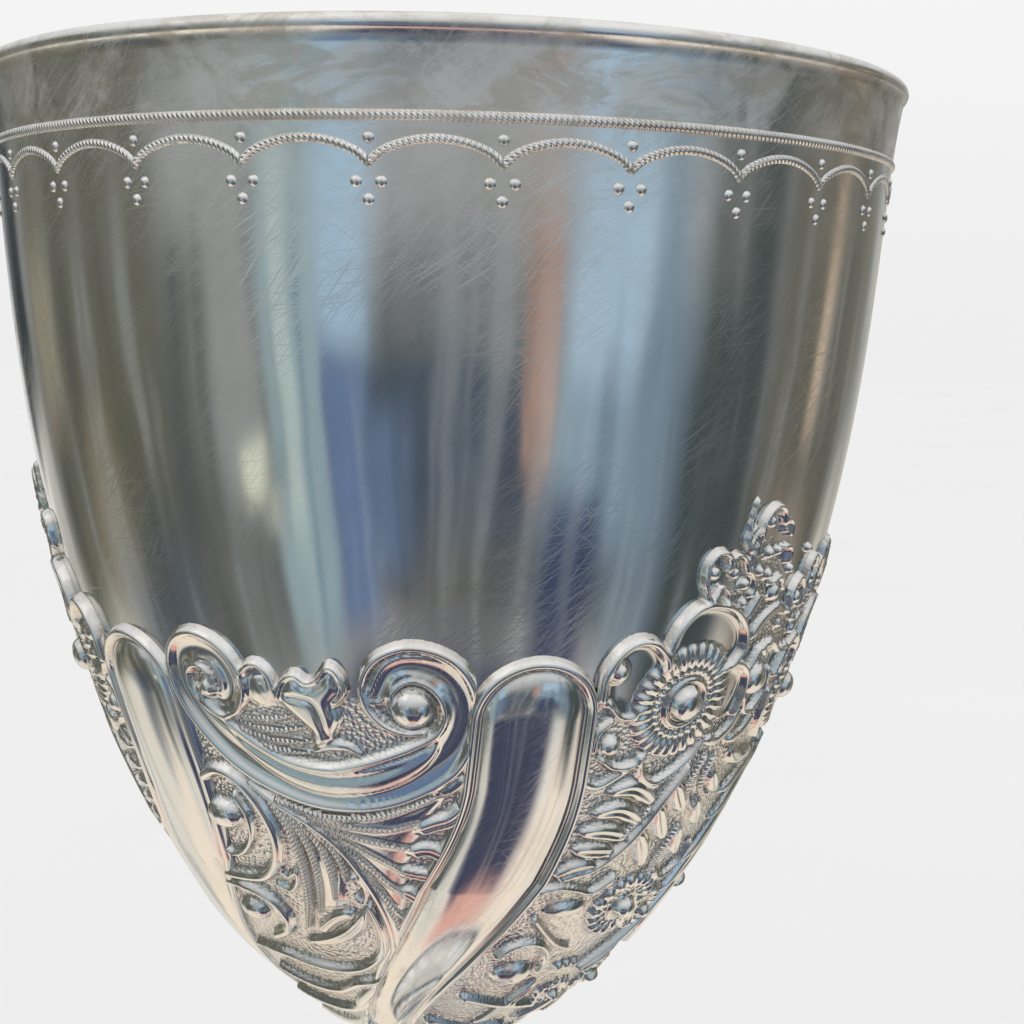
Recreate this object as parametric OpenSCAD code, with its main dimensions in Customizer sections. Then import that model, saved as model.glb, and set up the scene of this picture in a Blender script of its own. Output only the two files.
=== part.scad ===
// Presentation goblet with a chased bowl, a knopped stem and a domed foot.
// The bowl, stem and foot are separate pieces, drawn together by one stud with a nut under the foot.
// Millimetres, +Z up, origin on the table at the centre of the foot.

/* [Bowl] */
// Radius of the bowl's outside at the lip, without the flare
bowl_radius = 40.7; // [34:0.1:50]
// How far the lip flares out past that radius
lip_flare = 1.3; // [0:0.1:3]
// Depth of the bowl from the lip to its lowest point outside
bowl_depth = 92; // [76:1:112]
// Thickness of the bowl's wall
bowl_wall = 0.9; // [0.6:0.1:1.4]
// Radius of the rounded lip bead
lip_bead_radius = 0.7; // [0.5:0.05:1]

/* [Border] */
// Depth of the milled line below the lip
milled_line_depth = 6.2; // [4:0.2:12]
// Height of the milled line off the wall
milled_line_radius = 0.45; // [0.3:0.05:0.8]

/* [Chasing] */
// Number of pairs of swirl lobes. A scroll fills the space inside a pair, and flowers the space between pairs
lobe_pairs = 2; // [1:1:3]
// Angle between the two lobes of a pair
lobe_gap = 60; // [40:1:80]
// Depth of the lobes' rounded tops below the lip
lobe_top_depth = 46; // [36:1:54]
// Half of a lobe's width
lobe_half_width = 4.3; // [3:0.1:5.5]
// Height of a lobe off the wall
lobe_height = 1.1; // [0.6:0.1:1.6]
// Turn of the first lobe's top from the front of the bowl, in degrees
lobe_start_angle = 12.7; // [0:0.1:30]
// Depth below the lip at which the lobes start to swirl
swirl_start_depth = 57; // [50:1:66]
// Radius of the flowers
flower_radius = 5.6; // [4:0.1:7]
// Angle from a lobe to the flower beside it
flower_from_lobe = 23.4; // [20:0.1:30]
// Radius of the scrolls' volutes
volute_radius = 3.6; // [2.5:0.1:5]

/* [Stem] */
// Radius of the collar's neck, where it meets the bowl
collar_neck_radius = 6; // [5.2:0.1:9]
// Radius of the collar's ring
collar_radius = 8.4; // [7:0.1:12]
// Height of the collar's floor, under the stud's boss
collar_floor = 1.6; // [1:0.1:3]
// Length of the stem above the knop
stem_upper_length = 21; // [14:1:34]
// Length of the trumpet below the knop
stem_lower_length = 36; // [18:1:46]
// Radius of the stem at its waist
waist_radius = 4.7; // [4.5:0.1:7]
// Radius of the stem's top, under the collar
stem_top_radius = 6.8; // [6:0.1:9]
// Radius of the trumpet where it meets the foot
trumpet_radius = 9.5; // [8:0.1:13]

/* [Knop] */
// Radius of the knop
knop_radius = 10.5; // [8:0.5:14]
// Height of the knop
knop_height = 13; // [9:0.5:18]
// Thickness of the knop's two shells
knop_wall = 1; // [0.7:0.1:1.5]
// Radius of the milled wire round the knop
knop_wire_radius = 0.9; // [0.6:0.1:1.4]

/* [Foot] */
// Radius of the foot at its edge
foot_radius = 38; // [32:1:46]
// Height of the foot's crown above the table
foot_height = 20; // [17:1:32]
// Width of the flat border round the dome
foot_border = 3.4; // [2.5:0.1:6]
// Height of the border above the table
foot_border_height = 3.4; // [2.6:0.1:5]
// Thickness of the foot's shell
foot_wall = 1; // [0.8:0.1:1.5]
// Radius of the flat on the foot's crown
crown_radius = 10.4; // [9:0.1:13]
// Number of lobes round the foot
foot_lobe_count = 12; // [8:1:18]
// Turn of each lobe from its top to its bottom, in degrees
foot_swirl = 18; // [0:1:40]

/* [Fixing] */
// Radius of the stud
stud_radius = 2.5; // [2:0.25:3]
// Radius of the boss that holds the stud under the bowl
boss_radius = 4.3; // [3.6:0.1:5]
// Thickness of the boss below the bowl's lowest point
boss_thickness = 2.4; // [1:0.1:4]
// Length of each locating spigot
spigot_length = 1.6; // [1:0.1:3]
// Thickness of the wall of each locating spigot
spigot_wall = 0.8; // [0.6:0.1:1.2]
// Radius of the dished clamp washer
washer_radius = 9; // [7:0.5:10]
// Thickness of the clamp washer
washer_thickness = 1.6; // [1:0.1:3]
// Thickness of the spring washer
spring_washer_thickness = 1.2; // [0.8:0.1:2]
// Distance across the nut's flats
nut_across_flats = 10; // [8:0.5:13]
// Height of the nut
nut_height = 5; // [4:0.5:7]

/* [Clearances] */
// Gap all round the stud where it passes through a piece
stud_clearance = 0.3; // [0.1:0.05:0.6]
// Gap all round each spigot in its hole
spigot_clearance = 0.05; // [0.02:0.01:0.15]
// Film of solder between the bowl and the pieces that are soldered to it
solder_gap = 0.05; // [0.02:0.01:0.1]

/* [Hidden] */

$fn = 96;
tiny = 0.01;

silver = [0.80, 0.79, 0.76];
brass = [0.72, 0.58, 0.32];
steel = [0.52, 0.53, 0.55];

// Heights of the stack, from the table up.
knop_bottom_z = foot_height + stem_lower_length;
knop_middle_z = knop_bottom_z + knop_height / 2;
knop_top_z = knop_bottom_z + knop_height;
collar_bottom_z = knop_top_z + stem_upper_length;
bowl_bottom_z = collar_bottom_z + collar_floor + boss_thickness;
lip_z = bowl_bottom_z + bowl_depth;
crown_underside_z = foot_height - foot_wall;
washer_bottom_z = crown_underside_z - washer_thickness;
spring_washer_bottom_z = washer_bottom_z - spring_washer_thickness;
nut_bottom_z = spring_washer_bottom_z - nut_height;
stud_tail = 2;

stud_hole_radius = stud_radius + stud_clearance;
spigot_radius = stud_hole_radius + spigot_wall;
spigot_hole_radius = spigot_radius + spigot_clearance;

// ---- The bowl's outline -------------------------------------------------------------------
// An egg-shaped curve that closes at the bottom, with a flare that dies away below the lip.
egg_depth_power = 2.2;
egg_radius_power = 0.587;
flare_reach = 6.3;
bowl_steps = 20;

function egg_radius(d) =
    bowl_radius * pow(1 - pow(min(d / bowl_depth, 1), egg_depth_power), egg_radius_power);
function bowl_r(d) = egg_radius(d) + lip_flare * exp(-d / flare_reach);

// Depth at which the egg has a given radius; the flare is nothing this far down.
function egg_depth(r) =
    bowl_depth * pow(1 - pow(r / bowl_radius, 1 / egg_radius_power), 1 / egg_depth_power);

// Point [radius, z] on the outside at step s from 0 at the lip to 1 at the lowest point.
function bowl_step_depth(s) = bowl_depth * pow(sin(90 * s), 2 / egg_depth_power);
function bowl_point(d) = [bowl_r(d), lip_z - d];

// Outward normal [radial, upward] at depth d.
slope_step = 0.05;
function bowl_slope(d) = (bowl_r(min(d + slope_step, bowl_depth)) - bowl_r(max(d - slope_step, 0)))
                         / (min(d + slope_step, bowl_depth) - max(d - slope_step, 0));
function bowl_normal(d) =
    d >= bowl_depth - slope_step ? [0, -1] : [1, bowl_slope(d)] / norm([1, bowl_slope(d)]);
function bowl_offset_point(d, h) = bowl_point(d) + h * bowl_normal(d);

// Angle that the lobes have turned through at depth d.
swirl_rate = 0.0695;
swirl_power = 1.82;
function swirl(d) = -swirl_rate * pow(max(d - swirl_start_depth, 0), swirl_power);

module revolve(outline) {
    rotate_extrude() polygon(outline);
}

module shell_of_bowl() {
    outside = [for (i = [0 : bowl_steps - 1]) bowl_point(bowl_step_depth(i / bowl_steps))];
    inside = [for (i = [bowl_steps - 1 : -1 : 0])
        bowl_offset_point(bowl_step_depth(i / bowl_steps), -bowl_wall)];
    lip_middle = (bowl_point(0) + bowl_offset_point(0, -bowl_wall)) / 2;
    revolve(concat(outside, [[0, bowl_bottom_z], [0, bowl_bottom_z + bowl_wall]],
                   [for (p = inside) if (p[0] > tiny) p]));
    translate([0, 0, lip_middle[1]]) rotate_extrude()
        translate([lip_middle[0], 0]) circle(lip_bead_radius, $fn = 24);
}

// Place children on the bowl's outside, their +Z along the outward normal.
module on_bowl(angle, d) {
    n = bowl_normal(d);
    p = bowl_point(d);
    rotate([0, 0, angle - 90]) translate([p[0], 0, p[1]]) rotate([0, acos(n[1]), 0]) children();
}

// One swirl lobe: a bulged tongue with a round top, swept down the wall in cross-sections.
lobe_sections = 15;
lobe_arc_steps = 6;
lobe_root = 0.6 * bowl_wall;
lobe_end_depth = bowl_depth - 6;
lobe_share = 0.32;

function lobe_cap(d) = d < lobe_top_depth + lobe_half_width
    ? sqrt(max(pow(lobe_half_width, 2) - pow(lobe_top_depth + lobe_half_width - d, 2), 0.09))
    : lobe_half_width;
function lobe_width_at(d) = min(lobe_cap(d), lobe_share * PI * bowl_r(d) * lobe_gap / 360);
function lobe_section(d, angle) = [
    for (j = [0 : lobe_arc_steps + 2])
        let (
            w = lobe_width_at(d),
            on_arc = j <= lobe_arc_steps,
            bend = 180 * j / lobe_arc_steps,
            across = on_arc ? w * cos(bend) : (j == lobe_arc_steps + 1 ? -w : w),
            h = on_arc ? lobe_height * sin(bend) * w / lobe_half_width : -lobe_root,
            p = bowl_offset_point(d, h),
            a = angle + swirl(d) + across / p[0] * 180 / PI - 90
        )
        [p[0] * cos(a), p[0] * sin(a), p[1]]
];

module swept_solid(sections) {
    n = len(sections[0]);
    m = len(sections);
    points = [for (s = sections) each s];
    sides = [for (i = [0 : m - 2]) for (j = [0 : n - 1])
        let (a = i * n + j, b = i * n + (j + 1) % n, c = a + n, e = b + n)
        each [[a, c, b], [b, c, e]]];
    first = [for (j = [1 : n - 2]) [0, j, j + 1]];
    last = [for (j = [1 : n - 2]) [(m - 1) * n, (m - 1) * n + j + 1, (m - 1) * n + j]];
    polyhedron(points, concat(sides, first, last));
}

module bowl_lobe(angle) {
    swept_solid([for (i = [0 : lobe_sections])
        lobe_section(
            lobe_top_depth + (lobe_end_depth - lobe_top_depth) * pow(i / lobe_sections, 1.3), angle)]);
}

// A round button that stands on the bowl without coming through its wall.
module button(radius) {
    translate([0, 0, radius - lobe_root]) sphere(r = radius, $fn = 32);
}

// A flower's button inside its ring of petals.
flower_height = 0.7;
module flower_on_bowl(angle, d) {
    on_bowl(angle, d) {
        translate([0, 0, -lobe_root])
            cylinder(r1 = flower_radius, r2 = flower_radius * 0.6, h = lobe_root + flower_height);
        button(flower_radius * 0.22);
    }
}

// A scroll's rounded volute.
volute_rib_radius = 0.7;
module volute_on_bowl(angle, d) {
    on_bowl(angle, d) {
        rotate_extrude($fn = 48) translate([volute_radius, 0]) circle(volute_rib_radius, $fn = 16);
        button(volute_radius * 0.28);
    }
}

module bowl() {
    pitch = 360 / lobe_pairs;
    flowers_between = (pitch - lobe_gap) / 2;
    milled = bowl_point(milled_line_depth);
    color(silver) union() {
        shell_of_bowl();
        translate([0, 0, milled[1]]) rotate_extrude()
            translate([milled[0], 0]) circle(milled_line_radius, $fn = 16);
        for (i = [0 : lobe_pairs - 1]) {
            first = lobe_start_angle + i * pitch;
            for (angle = [first - lobe_gap, first]) bowl_lobe(angle);
            for (side = [-1, 1]) volute_on_bowl(first - lobe_gap / 2 + side * 13, lobe_top_depth + 4);
            for (side = [-1, 0, 1])
                flower_on_bowl(first + flowers_between + side * (flowers_between - flower_from_lobe),
                    lobe_top_depth + 5);
        }
    }
}

// ---- Pieces under the bowl ----------------------------------------------------------------
// Outline of the bowl's underside, lowered by the solder film, from radius r0 out to r1.
seat_steps = 5;
function seat_outline(r0, r1) = [for (i = [0 : seat_steps])
    let (r = r0 + (r1 - r0) * i / seat_steps) [r, lip_z - egg_depth(r) - solder_gap]];

module stud_boss() {
    color(brass) difference() {
        revolve(concat([[0, collar_bottom_z + collar_floor]], seat_outline(0, boss_radius),
                       [[boss_radius, collar_bottom_z + collar_floor]]));
        translate([0, 0, bowl_bottom_z - boss_thickness - tiny])
            cylinder(r = stud_radius, h = boss_thickness * 0.8);
    }
}

module tie_stud() {
    color(steel)
    translate([0, 0, nut_bottom_z - stud_tail])
    cylinder(r = stud_radius, h = bowl_bottom_z - boss_thickness * 0.2 - nut_bottom_z + stud_tail - tiny);
}

neck_steps = 6;
module bowl_collar() {
    rim = seat_outline(boss_radius + stud_clearance, collar_neck_radius);
    top = rim[seat_steps][1];
    ring_top = collar_bottom_z + collar_floor;
    reach = collar_radius - collar_neck_radius;
    neck = [for (i = [1 : neck_steps]) let (a = 90 * i / neck_steps)
        [collar_neck_radius + reach * (1 - cos(a)), top - (top - ring_top) * sin(a)]];
    color(silver) revolve(concat(
        [[stud_hole_radius, collar_bottom_z], [stud_hole_radius, ring_top], [rim[0][0], ring_top]],
        rim, neck, [[collar_radius, collar_bottom_z + 0.5], [collar_radius - 0.5, collar_bottom_z]]));
}

// Radius along a waisted stem at share s of its length, from radius r0 to radius r1.
waist_steps = 10;
function waisted(r0, r1, waist_at, s) = s < waist_at
    ? waist_radius + (r0 - waist_radius) * pow(1 - s / waist_at, 2)
    : waist_radius + (r1 - waist_radius) * pow((s - waist_at) / (1 - waist_at), 2);

module stem_upper() {
    color(silver) difference() {
        revolve(concat(
            [[0, knop_top_z - spigot_length], [spigot_radius, knop_top_z - spigot_length],
             [spigot_radius, knop_top_z]],
            [for (i = [0 : waist_steps])
                [waisted(waist_radius + 1, stem_top_radius, 0.25, i / waist_steps),
                 knop_top_z + i / waist_steps * stem_upper_length]],
            [[0, collar_bottom_z]]));
        translate([0, 0, knop_top_z - spigot_length - tiny])
            cylinder(r = stud_hole_radius, h = stem_upper_length + spigot_length + 2 * tiny);
    }
}

// The knop's two shells are alike: a half of a flattened ball with a flat neck that the stem stands on.
knop_neck_radius = waist_radius + 1.2;
knop_steps = 10;
knop_lap = 1.2;
function knop_outline(shrink) = [for (i = [0 : knop_steps])
    let (
        a = 90 * i / knop_steps,
        r = knop_neck_radius + (knop_radius - shrink - knop_neck_radius) * cos(a),
        z = (knop_height / 2 - shrink) * sin(a)
    )
    [r, z]];

module knop_shell() {
    color(silver) difference() {
        revolve(concat([[0, 0]], knop_outline(0), [[0, knop_height / 2]]));
        translate([0, 0, -tiny])
            revolve(concat([[0, 0]], knop_outline(knop_wall), [[0, knop_height / 2 - knop_wall]]));
        translate([0, 0, -1]) cylinder(r = spigot_hole_radius, h = knop_height);
    }
}

module knop_upper() {
    translate([0, 0, knop_middle_z]) knop_shell();
}

module knop_lower() {
    translate([0, 0, knop_middle_z]) mirror([0, 0, 1]) knop_shell();
}

// Half-round wire over the seam between the knop's shells.
module knop_wire() {
    color(silver) translate([0, 0, knop_middle_z]) difference() {
        rotate_extrude() translate([knop_radius, 0]) circle(knop_wire_radius, $fn = 24);
        rotate_extrude() polygon(concat([[0, -knop_height / 2]],
            [for (i = [knop_steps : -1 : 1]) let (p = knop_outline(0)[i]) [p[0] + solder_gap, -p[1]]],
            [for (p = knop_outline(0)) [p[0] + solder_gap, p[1]]], [[0, knop_height / 2]]));
    }
}

module stem_lower() {
    color(silver) difference() {
        revolve(concat(
            [[0, foot_height - spigot_length], [spigot_radius, foot_height - spigot_length],
             [spigot_radius, foot_height]],
            [for (i = [0 : waist_steps])
                [waisted(trumpet_radius, waist_radius + 1, 0.8, i / waist_steps),
                 foot_height + i / waist_steps * stem_lower_length]],
            [[spigot_radius, knop_bottom_z], [spigot_radius, knop_bottom_z + spigot_length],
             [0, knop_bottom_z + spigot_length]]));
        translate([0, 0, foot_height - spigot_length - tiny])
            cylinder(r = stud_hole_radius, h = stem_lower_length + 2 * spigot_length + 2 * tiny);
    }
}

// ---- Foot -----------------------------------------------------------------------------------
// A dome from the crown's flat down to a flat border, stiffened by a heavy wire under the edge.
dome_radius = foot_radius - foot_border;
dome_steps = 14;
function dome_point(s, thickness) =
    let (a = 90 * s)
    [crown_radius + (dome_radius - thickness - crown_radius) * pow(sin(a), 0.9),
     foot_border_height - foot_wall
         + (foot_height - foot_border_height + foot_wall - thickness) * pow(cos(a), 0.9)];

module foot() {
    border_top = foot_border_height;
    outside = [for (i = [0 : dome_steps]) let (p = dome_point(i / dome_steps, 0)) if (p[1] > border_top) p];
    inside = [for (i = [dome_steps : -1 : 0]) dome_point(i / dome_steps, foot_wall)];
    color(silver) union() {
        difference() {
            revolve(concat([[0, foot_height]], outside,
                           [[dome_radius, border_top], [foot_radius, border_top],
                            [foot_radius, border_top - foot_wall]],
                           inside, [[0, foot_height - foot_wall]]));
            translate([0, 0, foot_height - 2 * foot_wall])
                cylinder(r = spigot_hole_radius, h = 3 * foot_wall);
        }
        for (i = [0 : foot_lobe_count - 1]) rotate([0, 0, (i + 0.5) * 360 / foot_lobe_count]) foot_lobe();
    }
}

foot_lobe_sections = 8;
foot_lobe_root = 0.5 * foot_wall;
foot_lobe_height = 0.9;
module foot_lobe() {
    swept_solid([for (i = [0 : foot_lobe_sections])
        let (
            s = 0.28 + 0.5 * i / foot_lobe_sections,
            p = dome_point(s, 0),
            q = dome_point(s + 0.01, 0),
            n = [p[1] - q[1], q[0] - p[0]] / norm(q - p),
            w = 0.36 * PI * p[0] / foot_lobe_count * 2
                * sqrt(sin(180 * min(max(i / foot_lobe_sections, 0.03), 0.97)))
        )
        [for (j = [0 : lobe_arc_steps + 2])
            let (
                on_arc = j <= lobe_arc_steps,
                bend = 180 * j / lobe_arc_steps,
                across = on_arc ? w / 2 * cos(bend) : (j == lobe_arc_steps + 1 ? -w / 2 : w / 2),
                h = on_arc ? foot_lobe_height * sin(bend) : -foot_lobe_root,
                r = p[0] + h * n[0],
                a = across / r * 180 / PI - foot_swirl * (i / foot_lobe_sections - 0.5)
            )
            [r * cos(a), r * sin(a), p[1] + h * n[1]]]]);
}

module foot_wire() {
    height = foot_border_height - foot_wall;
    color(silver) revolve([
        [foot_radius - foot_border + foot_wall, 0], [foot_radius - 0.6, 0], [foot_radius, 0.6],
        [foot_radius, height], [foot_radius - foot_border + foot_wall, height]]);
}

// ---- Fixings under the foot's crown -----------------------------------------------------------
module clamp_washer() {
    color(brass) translate([0, 0, washer_bottom_z]) difference() {
        cylinder(r1 = washer_radius - 1, r2 = washer_radius, h = washer_thickness);
        translate([0, 0, -tiny]) cylinder(r = spigot_hole_radius, h = washer_thickness + 2 * tiny);
    }
}

split_angle = 8;
module spring_washer() {
    inner = stud_hole_radius;
    color(steel) translate([0, 0, spring_washer_bottom_z])
    rotate_extrude(angle = 360 - split_angle) translate([inner, 0]) square([2.4, spring_washer_thickness]);
}

module fixing_nut() {
    color(steel) translate([0, 0, nut_bottom_z]) difference() {
        cylinder(r = nut_across_flats / sqrt(3), h = nut_height, $fn = 6);
        translate([0, 0, -tiny]) cylinder(r = stud_radius + 0.05, h = nut_height + 2 * tiny);
    }
}

bowl();
stud_boss();
tie_stud();
bowl_collar();
stem_upper();
knop_upper();
knop_lower();
knop_wire();
stem_lower();
foot();
foot_wire();
clamp_washer();
spring_washer();
fixing_nut();
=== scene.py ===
from math import atan2, cos, degrees, hypot, pi, radians, sin, sqrt

import bpy
import numpy as np
from mathutils import Matrix, Vector


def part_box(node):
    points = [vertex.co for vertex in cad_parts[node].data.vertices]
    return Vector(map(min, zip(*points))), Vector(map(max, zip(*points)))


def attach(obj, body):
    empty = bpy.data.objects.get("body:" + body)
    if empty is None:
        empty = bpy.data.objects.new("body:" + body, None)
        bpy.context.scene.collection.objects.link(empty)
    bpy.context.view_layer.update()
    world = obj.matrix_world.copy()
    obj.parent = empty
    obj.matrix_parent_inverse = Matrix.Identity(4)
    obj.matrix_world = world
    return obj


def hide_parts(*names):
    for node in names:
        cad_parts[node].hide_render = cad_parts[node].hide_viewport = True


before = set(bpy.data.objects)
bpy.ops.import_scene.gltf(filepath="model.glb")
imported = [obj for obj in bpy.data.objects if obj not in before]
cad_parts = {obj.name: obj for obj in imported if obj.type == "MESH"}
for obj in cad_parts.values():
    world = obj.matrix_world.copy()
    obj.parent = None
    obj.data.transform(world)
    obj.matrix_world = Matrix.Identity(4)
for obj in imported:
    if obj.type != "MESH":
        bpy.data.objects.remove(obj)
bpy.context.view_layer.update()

# Every size below is in millimetres and is scaled to metres where a mesh is made. An angle round the
# goblet is in degrees from -Y towards +X, and a depth is measured down from the lip.
MM = 0.001

# ---------------------------------------------------------------------------------------------------
# The bowl is one sheet of plated silver, raised to the shape of an egg cut off at its wide end. A
# round wire is rolled into the lip, and the wall flares out a little under it. The plain band is
# polished, and years of wiping have covered it in fine scratches and left a brown haze at the lip.
bowl_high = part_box("bowl")[1]
bowl_radius, bowl_depth, bowl_wall = 40.7, 92.0, 0.9
egg_power, egg_round = 2.2, 0.587
lip_flare, flare_reach, lip_bead = 1.3, 6.3, 0.7
lip_z = bowl_high.z / MM - lip_bead


def egg_radius(depth):
    """Radius of the outside of the bowl."""
    share = np.clip(np.asarray(depth, float) / bowl_depth, 0, 1)
    flare = lip_flare * np.exp(-share * bowl_depth / flare_reach)
    return bowl_radius * (1 - share**egg_power) ** egg_round + flare


class Turned:
    """The outside of a turned form, measured by the way along its outline from the top."""

    def __init__(self, radius, height):
        self.radius, self.height = np.asarray(radius, float), np.asarray(height, float)
        steps = np.hypot(np.diff(self.radius), np.diff(self.height))
        self.way = np.concatenate([[0], np.cumsum(steps)])

    def at(self, way):
        return np.interp(way, self.way, self.radius), np.interp(way, self.way, self.height)

    def normal(self, way):
        r0, z0 = self.at(way - 0.05)
        r1, z1 = self.at(way + 0.05)
        length = np.hypot(r1 - r0, z1 - z0) + 1e-12
        return (z0 - z1) / length, (r1 - r0) / length


egg_depths = bowl_depth * np.sin(np.linspace(0, pi / 2, 6000))
egg = Turned(egg_radius(egg_depths), lip_z - egg_depths)
egg.depths = egg_depths


def way_at(depth):
    return np.interp(depth, egg.depths, egg.way)


def depth_at(way):
    return np.interp(way, egg.way, egg.depths)


def turn(name, outline, segments, smooth=35):
    """Draws an outline of (radius, height) and turns it once round the axis."""
    bpy.ops.object.select_all(action="DESELECT")
    first = Vector((outline[0][0] * MM, 0, outline[0][1] * MM))
    bpy.ops.mesh.primitive_plane_add(size=0.0001, location=first)
    piece = bpy.context.object
    piece.name = piece.data.name = name
    bpy.ops.object.mode_set(mode="EDIT")
    bpy.ops.mesh.select_mode(type="VERT")
    bpy.ops.mesh.select_all(action="SELECT")
    bpy.ops.mesh.merge(type="CENTER")
    last = outline[0]
    for point in outline[1:]:
        move = ((point[0] - last[0]) * MM, 0, (point[1] - last[1]) * MM)
        bpy.ops.mesh.extrude_vertices_move(TRANSFORM_OT_translate={"value": move})
        last = point
    bpy.ops.mesh.select_all(action="SELECT")
    bpy.ops.mesh.spin(steps=segments, angle=2 * pi, center=(0, 0, 0), axis=(0, 0, 1))
    bpy.ops.mesh.select_all(action="SELECT")
    bpy.ops.mesh.remove_doubles(threshold=2e-6)
    bpy.ops.mesh.delete_loose()
    bpy.ops.mesh.select_all(action="SELECT")
    bpy.ops.mesh.normals_make_consistent(inside=False)
    bpy.ops.object.mode_set(mode="OBJECT")
    bpy.ops.object.transform_apply(location=True, rotation=True, scale=True)
    bpy.ops.object.shade_smooth_by_angle(angle=radians(smooth))
    return piece


class Value:
    """One socket of a material's nodes. Sums of values add the Math nodes that they need."""

    def __init__(self, socket):
        self.socket = socket

    def node(self, kind, settings=None, sockets=None, out=0):
        made = self.socket.id_data.nodes.new(kind)
        for name, value in (settings or {}).items():
            if name == "stops":
                ramp = made.color_ramp
                while len(ramp.elements) < len(value):
                    ramp.elements.new(1)
                for stop, (place, colour) in zip(ramp.elements, value):
                    stop.position, stop.color = place, (*colour, 1)
            else:
                setattr(made, name, value)
        for key, value in (sockets or {}).items():
            if isinstance(value, Value):
                self.socket.id_data.links.new(value.socket, made.inputs[key])
            else:
                made.inputs[key].default_value = value
        return Value(made.outputs[out])

    def maths(self, operation, *others, clamp=False):
        sockets = dict(enumerate((self, *others)))
        return self.node("ShaderNodeMath", {"operation": operation, "use_clamp": clamp}, sockets)

    def __add__(self, other):
        return self.maths("ADD", other)

    def __sub__(self, other):
        return self.maths("SUBTRACT", other)

    def __mul__(self, other):
        return self.maths("MULTIPLY", other)

    __radd__, __rmul__ = __add__, __mul__

    def __rsub__(self, other):
        return self.node("ShaderNodeMath", {"operation": "SUBTRACT"}, {0: other, 1: self})

    def ease(self, low, high):
        """0 below low and 1 above high, eased between. It runs down where low is above high."""
        sockets = {"Value": self, "From Min": low, "From Max": high}
        return self.node("ShaderNodeMapRange", {"interpolation_type": "SMOOTHSTEP"}, sockets)

    def blend(self, first, second):
        """The first colour where this is 0 and the second where it is 1."""
        return self.node("ShaderNodeMix", {"data_type": "RGBA"}, {0: self, 6: first, 7: second}, out=2)

    def parts(self):
        split = self.node("ShaderNodeSeparateXYZ", {}, {0: self}).socket.node
        return [Value(split.outputs[i]) for i in range(3)]

    def noise(self, scale, detail=2.0, rough=0.5, twist=0.0):
        sockets = {"Vector": self, "Scale": scale, "Detail": detail, "Roughness": rough,
                   "Distortion": twist}
        return self.node("ShaderNodeTexNoise", {}, sockets)

    def laid(self, turn_by, size, shift=(0, 0, 0)):
        """These coordinates shifted and turned, then counted in marks of the given size in metres."""
        sockets = {"Vector": self, "Location": shift, "Rotation": turn_by, "Scale": size}
        return self.node("ShaderNodeMapping", {"vector_type": "TEXTURE"}, sockets)


def colour(r, g, b):
    return (r, g, b, 1.0)


def new_finish(name):
    """An empty material, and its shader, output and object coordinates."""
    finish = bpy.data.materials.new(name)
    finish.use_nodes = True
    shader = next(n for n in finish.node_tree.nodes if n.type == "BSDF_PRINCIPLED")
    place = finish.node_tree.nodes.new("ShaderNodeTexCoord").outputs["Object"]
    return finish, shader, Value(place)


def feed(shader, **sockets):
    for name, value in sockets.items():
        key = name.replace("_", " ")
        if isinstance(value, Value):
            shader.id_data.links.new(value.socket, shader.inputs[key])
        else:
            shader.inputs[key].default_value = value


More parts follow.
